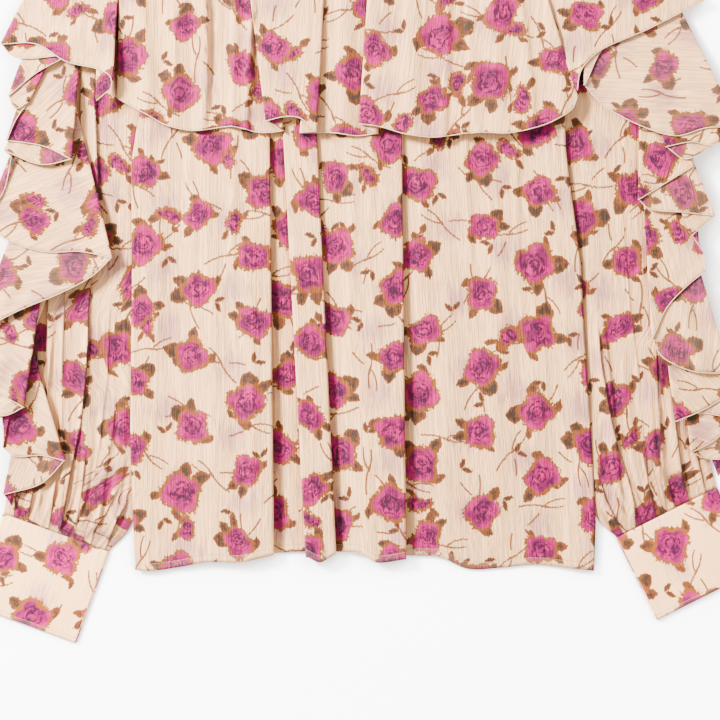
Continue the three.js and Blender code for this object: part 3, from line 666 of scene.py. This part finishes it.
cloths = {name: makeCloth(name, finish) for name, finish in finishes.items()}
edgeThread = makeThread()
rolledEdge = {"radius": 0.5, "sides": 8}
print("materials made")


def meshArea(piece):
    # half the closed wall's surface, in square metres
    return sum(face.area for face in piece.data.polygons) / 2


def finishPiece(piece, node, flat):
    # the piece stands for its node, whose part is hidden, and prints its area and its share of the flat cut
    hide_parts(node)
    share = meshArea(piece) / (flat[0] * flat[1])
    print(piece.name, "area", round(meshArea(piece), 4), "share of its cut", round(share, 3))


# The body's soft vertical creases: top x, top y, foot x, foot y, half width, height and lean.
bodyCreases = [
    (165, 90, 158, 420, 10, 1.8, 0), (188, 120, 196, 330, 8, 1.6, 1), (205, 90, 214, 540, 12, 2.2, 0),
    (233, 100, 238, 300, 8, 2.2, 1), (250, 200, 250, 600, 8, 2.2, 0), (346, 100, 352, 420, 9, 2.2, -1),
    (372, 100, 374, 330, 7, 1.8, 1), (362, 350, 366, 620, 11, 2.4, 0), (423, 100, 428, 400, 9, 2.0, 0),
    (440, 240, 452, 620, 13, 2.2, 0), (468, 90, 472, 300, 8, 2.0, 1), (490, 120, 502, 560, 13, 2.4, 0),
    (517, 90, 524, 330, 8, 1.8, 1), (536, 160, 542, 520, 11, 2.0, 0), (552, 80, 560, 300, 6, 1.4, -1),
]


def bodyRelief(x, y):
    # the creases and a slow swell, none of it near the two side edges
    inside = np.minimum(x - readTable(leftSide, y), readTable(rightSide, y) - x)
    swell = 0.6 + 0.6 * np.sin(x / 37 + y / 140) * np.sin(y / 90 + 1)
    return (creases(x, y, bodyCreases) + swell) * smooth(4, 30, inside)


def neckY(x, depth):
    # a rounded neckline between the high neck points, then the straight shoulder line
    away = np.abs(x - layout["bodyMiddleX"])
    share = np.minimum(away / layout["neckHalfWidth"], 1)
    dip = depth * np.sqrt(1 - share ** 2.4)
    run = layout["shoulderTipRightX"] - layout["bodyMiddleX"] - layout["neckHalfWidth"]
    slope = (layout["shoulderTipY"] - layout["highNeckY"]) / run
    return layout["highNeckY"] + dip + slope * np.maximum(away - layout["neckHalfWidth"], 0)


back = {"columns": 120, "rows": 130, "flat": (0.50, 0.66),
        "hem": [(135, 568), (220, 556), (300, 532), (363, 526), (430, 533), (510, 556), (594, 569)]}


def makeBack():
    share = np.linspace(0, 1, back["columns"])[:, None]
    v = np.linspace(0, 1, back["rows"])[None, :]
    top = neckY(bodyX(share, layout["highNeckY"]), layout["neckDepthBack"])
    bottom = readTable(back["hem"], bodyX(share, layout["hemY"]))
    y = mix(top, bottom, v)
    x = bodyX(share, y)
    points = onFrame(x, y, heights["back"] + liftAtSides(x, y))
    cut = np.stack([1400 - x, y], axis=-1)
    piece = shell("back_panel", points, cut, cloths["crinkle_chiffon"], clothThickness["chiffon"],
                  edge=bottom - y, faceUp=False)
    trim = tubeAlong("back_neck_edge", *neckPath(points[:, 0]), rolledEdge["radius"], edgeThread)
    finishPiece(piece, "back", back["flat"])
    return piece


def neckPath(points):
    # the stretch of a panel's top edge between the two high neck points, with upward normals
    away = np.abs(points[:, 0] * 1000 + gridMiddle[0] - layout["bodyMiddleX"])
    path = points[away < layout["neckHalfWidth"]]
    return path, np.tile([0.0, 0.0, 1.0], (len(path), 1))


yoke = {"columns": 200, "rows": 20, "gather": 0.25, "flat": (0.42, 0.09)}


def makeYoke():
    share = np.linspace(0, 1, yoke["columns"])[:, None]
    v = np.linspace(0, 1, yoke["rows"])[None, :]
    top = neckY(bodyX(share, layout["highNeckY"]), layout["neckDepthFront"])
    y = mix(top, layout["yokeSeamY"] - 0.4, v)
    x = bodyX(share, y)
    z = heights["front"] + yoke["gather"] * ripples(x, 9.0, 1.3) * smooth(0.2, 1, v)
    points = onFrame(x, y, z)
    piece = shell("yoke_panel", points, np.stack([x, y - 40], axis=-1), cloths["crinkle_chiffon"], clothThickness["chiffon"])
    trim = tubeAlong("front_neck_edge", *neckPath(points[:, 0]), rolledEdge["radius"], edgeThread)
    finishPiece(piece, "front_yoke", yoke["flat"])


def bodyLine(share, bottomY):
    def path(v):
        y = np.where(v < 1, mix(layout["yokeSeamY"], layout["hemY"], v), bottomY)
        return np.stack([bodyX(share, y), y], axis=-1)
    return {"path": path}


front = {
    "lines": 150, "step": 3.0, "turnColumns": 7, "edgeEase": 3.0, "flat": (0.66, 0.60),
    "spacing": [(0, 1.6), (0.35, 2.6), (0.75, 4.5), (1, 4.5)],
    "rows": [
        {**bodyLine(0, 570), "before": 0, "after": 0, "via": [(150, 571), (180, 567), (207, 562), (240, 562)]},
        {"root": (268, -4), "tip": (274, 555), "before": 2, "after": 1},
        {"root": (252, -4), "tip": (262, 554), "before": 1, "after": 0},
        {"root": (296, -4), "tip": (318, 551), "before": 0, "after": 1},
        {"root": (276, -4), "tip": (306, 557), "before": 1, "after": 2, "via": [(320, 562)]},
        {"root": (310, -4), "tip": (336, 554), "before": 2, "after": 1},
        {"root": (290, -4), "tip": (322, 552), "before": 1, "after": 0, "via": [(349, 552), (360, 552), (376, 562)]},
        {"root": (400, -4), "tip": (406, 559), "before": 2, "after": 1},
        {"root": (386, -4), "tip": (392, 556), "before": 1, "after": 0,
         "via": [(422, 556), (440, 557), (468, 569), (502, 568), (534, 565), (567, 568)]},
        {**bodyLine(1, 571), "before": 0, "after": 0},
    ],
}


def frontSpacing(v):
    return readTable(front["spacing"], v)


def makeFront():
    def base(x, y, v):
        return heights["front"] + liftAtSides(x, y) + bodyRelief(x, y)
    sheet = foldedSheet(front["rows"], {**front, "spacing": frontSpacing, "base": base})
    piece = shell("front_panel", sheet["points"], sheet["cut"], cloths["crinkle_chiffon"], clothThickness["chiffon"],
                  edge=sheet["toEdge"])
    finishPiece(piece, "front", front["flat"])


def rolledEdgeOf(name, sheet):
    # the cord along the sheet's free edge, its last row of points
    normal = surfaceNormals(sheet["points"], False)[:, -1]
    return tubeAlong(name, sheet["points"][:, -1], normal, rolledEdge["radius"], edgeThread, rolledEdge["sides"])


# The chest flounce's own creases, which fan out downwards.
chestCreases = [
    (143, -40, 146, 190, 9, 4.0, 0), (176, -40, 176, 180, 11, 2.6, 0), (206, -60, 204, 150, 10, 5.0, 1),
    (232, -40, 230, 190, 8, 3.6, -1), (252, -60, 248, 190, 7, 3.6, 1), (345, -40, 340, 190, 8, 2.6, 0),
    (410, -40, 418, 190, 11, 3.0, 0), (446, -40, 444, 200, 12, 2.6, 1), (468, -40, 476, 190, 8, 2.2, -1),
    (492, -60, 506, 200, 12, 3.0, 0), (520, -40, 536, 190, 9, 2.4, 1), (546, -40, 566, 170, 9, 3.0, 0),
]
# Its pressed folds: the edge's points, height and the side that lies on top. Their drops also give painted shade.
chestLaps = [([(208, -40), (207, 20), (206, 66)], 2.0, -1), ([(252, 10), (252, 50), (254, 90)], 1.8, 1),
             ([(389, -40), (389, 20), (390, 56)], 2.0, -1), ([(177, 6), (177, 60), (178, 106)], 0.9, 1)]
chest = {
    "lines": 72, "step": 2.3, "turnColumns": 7, "edgeEase": 2.0, "spacing": (1.5, 4.2), "flat": (0.70, 0.145),
    "rows": [
        {"root": (119.5, -8), "tip": (117, 98), "before": 0, "after": 0,
         "via": [(131, 106), (149, 116), (168, 126), (195, 131), (230, 127), (262, 133)]},
        {"root": (262, -8), "tip": (284, 131), "before": 0, "after": 1},
        {"root": (250, -8), "tip": (266, 122), "before": 1, "after": 2, "via": [(284, 118), (300, 119)]},
        {"root": (324, -8), "tip": (317, 132), "before": 2, "after": 1},
        {"root": (309, -8), "tip": (300, 133), "before": 1, "after": 0, "via": [(332, 133), (356, 136)]},
        {"root": (386, -8), "tip": (378, 134), "before": 0, "after": 1},
        {"root": (368, -8), "tip": (359, 125), "before": 1, "after": 2, "via": [(381, 128), (406, 135), (432, 138)]},
        {"root": (452, -8), "tip": (464, 134), "before": 0.6, "after": 0.6,
         "via": [(486, 133), (506, 134), (539, 127), (558, 119), (572, 109)]},
        {"root": (545, -8), "tip": (577, 96), "before": 1.2, "after": 1.2},
    ],
}


def makeChestFlounce():
    def base(x, y, v):
        down = np.clip((y - layout["yokeSeamY"]) / (layout["hemY"] - layout["yokeSeamY"]), 0, 1)
        gather = 0.5 + 0.5 * ripples(x, 11.0, 2.2)
        return (heights["front"] + heights["flounceClear"] + 2 * frontSpacing(down) + bodyRelief(x, y)
                + creases(x, y, chestCreases) + laps(x, y, chestLaps)[0] + gather * (1 - smooth(0.0, 0.5, v)))

    def spacing(v):
        return mix(*chest["spacing"], v)

    sheet = foldedSheet(chest["rows"], {**chest, "spacing": spacing, "base": base})
    x, y = sheet["points"][..., 0] * 1000 + gridMiddle[0], gridMiddle[1] - sheet["points"][..., 1] * 1000
    # the folds' painted shade goes into the shade attribute
    piece = shell("chest_flounce_sheet", sheet["points"], sheet["cut"] + (311, 57), cloths["flounce_chiffon"],
                  clothThickness["chiffon"], edge=sheet["toEdge"], shade=laps(x, y, chestLaps)[1])
    trim = rolledEdgeOf("chest_flounce_edge", sheet)
    finishPiece(piece, "chest_flounce", chest["flat"])


def flatTube(inner, outer, shape):
    # a flattened ring at each row: over the top from the inner edge, a half circle round, and back underneath
    rise = shape["topZ"] - shape["bottomZ"]
    width = np.linalg.norm(outer - inner, axis=1)
    inset = (rise / 2 / width)[None, :]
    top = np.linspace(0, 1, shape["topColumns"])
    bottom = np.linspace(1, 0, shape["bottomColumns"])
    angle = np.linspace(0, np.pi, shape["turnColumns"] + 2)[1:-1]
    bend = np.sin(angle)[:, None] * inset
    across = np.concatenate([mix(inset, 1 - inset, top[:, None]), 1 - inset + bend,
                             mix(inset, 1 - inset, bottom[:, None]), inset - bend])
    layer = np.concatenate([np.ones_like(top), (1 + np.cos(angle)) / 2, np.zeros_like(bottom), (1 - np.cos(angle)) / 2])[:, None]
    round_ = np.concatenate([top, 1 + 0 * angle, 2 - bottom, 2 + 0 * angle])[:, None]
    place = mix(inner[None], outer[None], across[..., None])
    x, y = place[..., 0], place[..., 1]
    v = np.linspace(0, 1, len(inner))[None, :]
    relief = shape["relief"](x, y, across, v) * layer ** 2
    points = onFrame(x, y, shape["bottomZ"] + rise * layer + relief)
    return points, across, layer, round_, width


sleeves = {
    "rows": 170, "topColumns": 176, "bottomColumns": 34, "turnColumns": 5, "flat": (0.44, 0.60), "gap": 0.12,
    "left": [((131, 165), (163, -43)), ((133, 205), (100, -28)), ((138, 250), (60, 25)), ((140, 300), (32, 110)),
             ((141, 360), (18, 220)), ((141, 425), (12, 330)), ((140, 485), (12, 420)), ((129, 528), (10, 478)),
             ((108, 551.6), (3, 513.6))],
    "right": [((566, 150), (560, -43)), ((570, 196), (625, -28)), ((573, 250), (665, 25)), ((575, 300), (688, 110)),
              ((577, 360), (698, 220)), ((580, 425), (704, 330)), ((585, 485), (706, 420)), ((598, 519), (710, 458)),
              ((617, 537.6), (717, 487.6))],
}
# Long folds of the sleeves, above the cuffs.
sleeveCreases = {
    "left": [(52, 300, 36, 590, 8, 3.6, 1), (66, 280, 58, 560, 7, 3.4, -1), (92, 290, 74, 600, 9, 4.0, -1),
             (112, 150, 110, 420, 6, 0.8, 0), (114, 380, 92, 610, 8, 3.4, 1), (128, 360, 112, 590, 6, 2.4, 0),
             (30, 400, 22, 580, 6, 2.6, 0)],
    "right": [(598, 300, 638, 620, 9, 3.8, 1), (590, 150, 600, 380, 7, 0.8, 0), (618, 320, 648, 590, 7, 3.0, 0),
              (657, 330, 668, 590, 8, 3.8, 1), (676, 380, 690, 560, 7, 3.2, 1), (640, 200, 650, 460, 8, 1.6, 0),
              (584, 380, 612, 600, 6, 2.4, 0)],
}


# The sleeves' folded-over pleats and the gathers at the cuffs: the edge's points, height and the side that lies on top.
# Their drops also carry painted shade.
sleeveLaps = {
    "left": [([(95, 60), (95, 103), (98, 180), (98, 231), (92, 262), (88.5, 309), (88, 339), (85.5, 382), (83, 405),
               (80, 428), (75, 450), (71, 470), (66, 500), (60, 535)], 3.0, 1),
             ([(81, 55), (80, 103), (80, 126), (84, 160), (90, 195)], 1.8, -1),
             ([(37, 300), (36, 343), (38, 385)], 2.4, 1), ([(48, 280), (47, 345), (47, 400), (57, 446)], 2.4, -1),
             ([(65, 270), (63, 330), (62, 372)], 1.4, 1), ([(36, 478), (31, 500), (27, 525)], 2.0, 1),
             ([(57, 470), (54, 495), (48, 530)], 2.2, 1), ([(66, 472), (64, 498), (58, 532)], 2.0, -1),
             ([(86, 450), (82, 490), (74, 538)], 1.8, 1), ([(104, 470), (92, 510), (82, 545)], 2.2, -1),
             ([(122, 480), (106, 513), (94, 530), (90, 548)], 2.4, 1), ([(130, 496), (116, 522), (104, 552)], 2.4, 1),
             ([(110, 300), (107, 380), (100, 440), (94, 480)], 1.0, 1), ([(20, 470), (16, 490), (13, 520)], 1.8, 1)],
    "right": [([(598, 325), (601, 360), (608, 403), (612, 424), (620, 455), (628, 479), (634, 502), (636, 530)], 3.0, 1),
              ([(661, 345), (660, 406), (660, 449), (661, 482), (668, 510)], 2.8, -1),
              ([(671, 390), (676, 429), (683, 482), (690, 500)], 2.4, 1), ([(688, 420), (698, 459), (706, 492)], 2.0, 1),
              ([(597, 470), (606, 500), (622, 532)], 2.2, 1), ([(596, 500), (606, 520), (614, 534)], 1.8, -1),
              ([(640, 440), (648, 480), (656, 516)], 1.8, 1), ([(650, 452), (658, 486), (664, 512)], 1.6, -1),
              ([(622, 200), (630, 300), (640, 380)], 0.8, 1), ([(664, 462), (674, 505)], 2.0, 1)],
}
# Painted shade in the dark recesses beside the body, by their middle, half width, half length and depth, and the
# body's painted shadow on the sleeves.
paintedRecessShade = {"left": [(116.5, 62, 4.5, 46, 0.85), (117, -10, 3.5, 60, 0.5)], "right": [(571, 165, 6, 62, 0.34)],
                "shadow": {"left": 0.45, "right": 1.0}}


def paintedSleeveShade(side, x, y):
    # painted shade: the darkest of the pleats' drops, flat-topped bells for the recesses, and a painted shadow
    # as exp(-d / 1.6) beside the body's edge
    dark = laps(x, y, sleeveLaps[side])[1]
    for middleX, middleY, halfWidth, halfLength, depth in paintedRecessShade[side]:
        bell = np.exp(-((x - middleX) / halfWidth) ** 4 - ((y - middleY) / halfLength) ** 4)
        dark = np.maximum(dark, depth * bell)
    edge = readTable(leftSide, y) - x if side == "left" else x - readTable(rightSide, y)
    near = np.exp(-np.maximum(edge, 0) / 1.6) * smooth(110, 150, y) * (1 - 0.5 * smooth(330, 420, y))
    return np.maximum(dark, paintedRecessShade["shadow"][side] * near)


def makeSleeve(side, node, sign):
    table = np.array(sleeves[side], float)
    v = np.linspace(0, 1, sleeves["rows"])
    inner, outer = (catmullRom(table[:, k], v) for k in (0, 1))
    inner[0, 0] += sign * sleeves["gap"]
    outer[0, 0] += sign * sleeves["gap"]

    def relief(x, y, across, v):
        gathers = 1.1 + 1.1 * ripples(across * 108 + 3 * np.sin(v * 4), 8.5, 1.7)
        crimps = 0.12 * ripples(across * 150, 6.5, 0.6) * smooth(0.05, 0.2, v)
        atEdges = smooth(0, 0.05, across) * smooth(1, 0.95, across)
        return (0.7 * creases(x, y, sleeveCreases[side]) * (1 - smooth(0.93, 1, v)) + gathers * smooth(0.62, 0.95, v)
                * (1 - 0.6 * smooth(0.95, 1, v)) + laps(x, y, sleeveLaps[side])[0] * (1 - smooth(0.96, 1, v)) + crimps) * atEdges

    points, across, layer, round_, width = flatTube(inner, outer, {
        **sleeves, "topZ": heights["sleeveTop"], "bottomZ": heights["back"], "relief": relief})
    turned = 2 - np.where(round_ <= 1, 2 - across, across)
    place = mix(inner[None], outer[None], across[..., None])
    spread = place[..., 0] + sign * (turned - across) * width[None, :]
    hidden = laps(place[..., 0], place[..., 1], sleeveLaps[side])[2] * (layer > 0.5)
    cut = np.stack([spread + hidden + 900 + sign * 400, place[..., 1]], axis=-1)
    # painted shade, on the sleeve's top layer only
    shade = paintedSleeveShade(side, place[..., 0], place[..., 1]) * (layer > 0.5)
    piece = shell(node + "_tube", points, cut, cloths["crinkle_chiffon"], clothThickness["chiffon"], ring=True, shade=shade)
    finishPiece(piece, node, sleeves["flat"])


cuffs = {
    "rows": 44, "topColumns": 70, "bottomColumns": 30, "turnColumns": 7, "flat": (0.24, 0.20),
    "bottomZ": 0.8, "topZ": 2.8,
    "left": [((108, 552), (3, 514)), ((75, 643), (-30, 605))],
    "right": [((617, 538), (717, 488)), ((658, 620), (758, 570))],
}


def makeCuff(side, node, sign):
    table = np.array(cuffs[side], float)
    v = np.linspace(0, 1, cuffs["rows"])[:, None]
    inner, outer = (mix(table[0, k], table[1, k], v) for k in (0, 1))

    def relief(x, y, across, v):
        sag = 0.35 * np.sin(across * 7 + 1) * np.sin(v * 5 + across * 2)
        pucker = 0.3 * ripples(across * 108, 7.0, 0.4) * (1 - smooth(0.0, 0.18, v))
        return (sag + pucker) * smooth(0, 0.08, across) * smooth(1, 0.92, across)

    points, across, layer, round_, width = flatTube(inner, outer, {**cuffs, "relief": relief})
    u = np.where(round_ <= 1, across - 0.5, 1.5 - across) * width[None, :]
    depth = np.linalg.norm(table[1, 0] - table[0, 0])
    along = v.T * depth
    cut = np.stack([sign * u + 2000 + sign * 300, along + 0 * u], axis=-1)
    edge = depth - along + 0 * u
    piece = shell(node + "_band", points, cut, cloths["cuff_cloth"], clothThickness["cuff"], ring=True, edge=edge)
    finishPiece(piece, node, cuffs["flat"])


cascade = {
    "lines": 46, "step": 2.6, "turnColumns": 5, "edgeEase": 1.5, "spacing": 1.7, "flat": (1.30, 0.13),
    "lift": [(250, 0), (330, 2.8)], "swell": 2.2, "swellWidth": 9.0,
    "left": [
        ((97, 103), (98, -54), [(106, 95), (112, 90)]), ((114, 83), (120, -53), [(111, 77), (98, 70), (68, 63), (37, 45)]),
        ((2, 45), (48, -52), [(16, 58)]), ((70, 56), (84, -20), [(36, 75)]), ((10, 97), (42, 0), [(17, 110)]),
        ((30, 104), (70, 20), [(18, 120)]), ((8, 141), (42, 35), [(45, 147)]), ((73, 160), (80, 50), [(42, 165)]),
        ((5, 151), (42, 70), []), ((13, 158), (60, 80), [(5, 190)]),
        ((-16, 224), (36, 90), [(10, 241), (45, 252), (82, 252)]), ((113, 258), (74, 100), [(92, 277), (58, 295), (20, 311)]),
        ((-24, 334), (42, 150), [(-12, 322)]), ((2, 312), (54, 190), [(-10, 345)]), ((-18, 384), (36, 215), [(4, 395)]),
        ((26, 407), (48, 250), [(8, 415)]), ((-16, 414), (30, 275), []), ((4, 418), (46, 300), [(5, 432)]),
        ((4, 447), (26, 330), [(16, 456), (40, 455)]), ((66, 460), (34, 355), [(42, 483)]), ((4, 494), (22, 400), []),
        ((12, 506), (26, 430), []),
    ],
    "right": [
        ((576, 93), (524, -53), [(580, 72), (597, 53), (649, 29)]), ((703, 1), (650, -52), [(671, 14), (640, 28), (605, 46)]),
        ((583, 86), (586, -45), [(600, 104), (638, 126), (674, 137), (705, 129)]),
        ((738, 128), (662, -30), [(712, 146), (690, 143)]), ((664, 148), (636, 40), [(684, 160)]),
        ((717, 143), (668, 55), []), ((672, 152), (646, 70), []), ((692, 167), (672, 85), [(664, 184)]),
        ((637, 200), (640, 100), [(648, 209), (685, 213)]), ((714, 216), (678, 125), []),
        ((690, 236), (650, 140), [(702, 254)]), ((704, 272), (676, 150), [(687, 285), (666, 307)]),
        ((650, 338), (642, 165), [(660, 356), (690, 371)]), ((728, 373), (676, 190), []), ((700, 366), (650, 215), []),
        ((738, 388), (682, 240), [(703, 409)]), ((674, 421), (655, 270), [(690, 413)]), ((736, 418), (686, 300), [(712, 441)]),
        ((690, 452), (676, 340), [(705, 458)]), ((734, 459), (696, 380), []), ((718, 476), (694, 410), []),
    ],
    "leftAlwaysFace": 1, "rightAlwaysFace": 0, "leftFaceUp": True, "rightFaceUp": False, "leftFirstLayer": -2, "rightFirstLayer": 0,
}


def makeCascade(side, node):
    table = cascade[side]
    layers = -np.arange(len(table))
    layers[0] = cascade[side + "FirstLayer"]
    rows = [{"tip": tip, "root": root, "via": via, "before": layers[max(k - 1, 0)], "after": layers[k]}
            for k, (tip, root, via) in enumerate(table)]
    order = [(root[1], -layers[:k + 1].min()) for k, (tip, root, via) in enumerate(table)]

    def swell(x, y):
        # the cloth swells along each fold line, most at its free end
        height = np.zeros_like(x)
        for tip, root, via in table[1:-1]:
            ax, ay = tip[0] - root[0], tip[1] - root[1]
            t = np.clip(((x - root[0]) * ax + (y - root[1]) * ay) / (ax * ax + ay * ay), 0, 1)
            away = np.hypot(x - root[0] - ax * t, y - root[1] - ay * t)
            height = np.maximum(height, smooth(0.1, 1, t) * np.exp(-(away / cascade["swellWidth"]) ** 2))
        return cascade["swell"] * height

    def base(x, y, v):
        return (heights["cascade"] + readTable(cascade["lift"], y) + cascade["spacing"] * readTable(order, y) + swell(x, y)
                + 0.35 * ripples(x + y, 23.0, 0.9) * v ** 2)

    def spacing(v):
        return cascade["spacing"] + 0 * v

    sheet = foldedSheet(rows, {**cascade, "spacing": spacing, "base": base})
    piece = shell(node + "_sheet", sheet["points"], sheet["cut"] + (37, 11), cloths["flounce_chiffon"],
                  clothThickness["chiffon"], edge=sheet["toEdge"], faceUp=cascade[side + "FaceUp"],
                  facing=sheet["panel"] == cascade[side + "AlwaysFace"])
    trim = rolledEdgeOf(node + "_edge", sheet)
    finishPiece(piece, node, cascade["flat"])


makeSleeve("left", "sleeve_left", -1)
makeSleeve("right", "sleeve_right", 1)
makeCuff("left", "cuff_left", -1)
makeCuff("right", "cuff_right", 1)
print("sleeves and cuffs made")
makeBack()
makeYoke()
makeFront()
print("body made")
makeChestFlounce()
makeCascade("left", "sleeve_flounce_left")
makeCascade("right", "sleeve_flounce_right")
print("flounces made")

studio = {
    "floorSize": 6.0, "floorColor": linear(250, 250, 249), "floorGlow": 6.0, "paintedShadowReach": 0.04, "paintedShadowGlow": 0.1,
    "world": (1.0, 0.975, 0.95, 1.0), "worldStrength": 1.15,
    "key": {"place": (-2.1, 1.3, 1.6), "size": 0.6, "power": 600.0},
    "fill": {"place": (1.6, -0.8, 2.4), "size": 2.0, "power": 30.0},
}


def addLight(name, place, size, power):
    light = bpy.data.lights.new(name, "AREA")
    light.size = size
    light.energy = power
    made = bpy.data.objects.new(name, light)
    made.location = place
    direction = np.array([0.0, -0.05, 0.0]) - np.array(place)
    tilt = math.acos(-direction[2] / np.linalg.norm(direction))
    made.rotation_euler = (tilt, 0, math.atan2(-direction[0], direction[1]))
    bpy.context.scene.collection.objects.link(made)


def makeStudio():
    half = studio["floorSize"] / 2
    mesh = bpy.data.meshes.new("floor")
    mesh.from_pydata([(-half, -half, 0), (half, -half, 0), (half, half, 0), (-half, half, 0)], [], [(0, 1, 2, 3)])
    floor = bpy.data.objects.new("floor", mesh)
    bpy.context.scene.collection.objects.link(floor)
    material = bpy.data.materials.new("floor")
    material.use_nodes = True
    tree = material.node_tree
    shader = tree.nodes["Principled BSDF"]
    # painted contact shadow: the floor's glow falls to a tenth of its strength where ambient occlusion finds the
    # garment near
    openness = addNode(tree, "ShaderNodeAmbientOcclusion", {"Distance": studio["paintedShadowReach"]}, samples=8).outputs["AO"]
    glow = remap(tree, openness, 0.7, 1.0, studio["paintedShadowGlow"] * studio["floorGlow"], studio["floorGlow"], "LINEAR")
    link(tree, glow, shader.inputs["Emission Strength"])
    shader.inputs["Base Color"].default_value = studio["floorColor"]
    shader.inputs["Roughness"].default_value = 0.9
    shader.inputs["Specular IOR Level"].default_value = 0.0
    shader.inputs["Emission Color"].default_value = studio["floorColor"]
    mesh.materials.append(material)
    for name in ("key", "fill"):
        addLight(name, **studio[name])
    world = bpy.context.scene.world or bpy.data.worlds.new("studio")
    bpy.context.scene.world = world
    world.use_nodes = True
    sky = world.node_tree.nodes["Background"]
    sky.inputs["Color"].default_value = studio["world"]
    sky.inputs["Strength"].default_value = studio["worldStrength"]


# The camera looks straight down and takes in a square of the layout grid, as the photo does.
shot = {"middle": (360, 360), "width": 720, "lens": 110.0, "sensor": 36.0, "aimHeight": 6}


def makeCamera():
    camera = bpy.data.cameras.new("camera")
    camera.lens = shot["lens"]
    camera.sensor_width = shot["sensor"]
    made = bpy.data.objects.new("camera", camera)
    distance = shot["width"] * shot["lens"] / shot["sensor"]
    made.location = tuple(onFrame(*shot["middle"], shot["aimHeight"] + distance))
    bpy.context.scene.collection.objects.link(made)
    bpy.context.scene.camera = made


makeStudio()
makeCamera()
print("studio made")
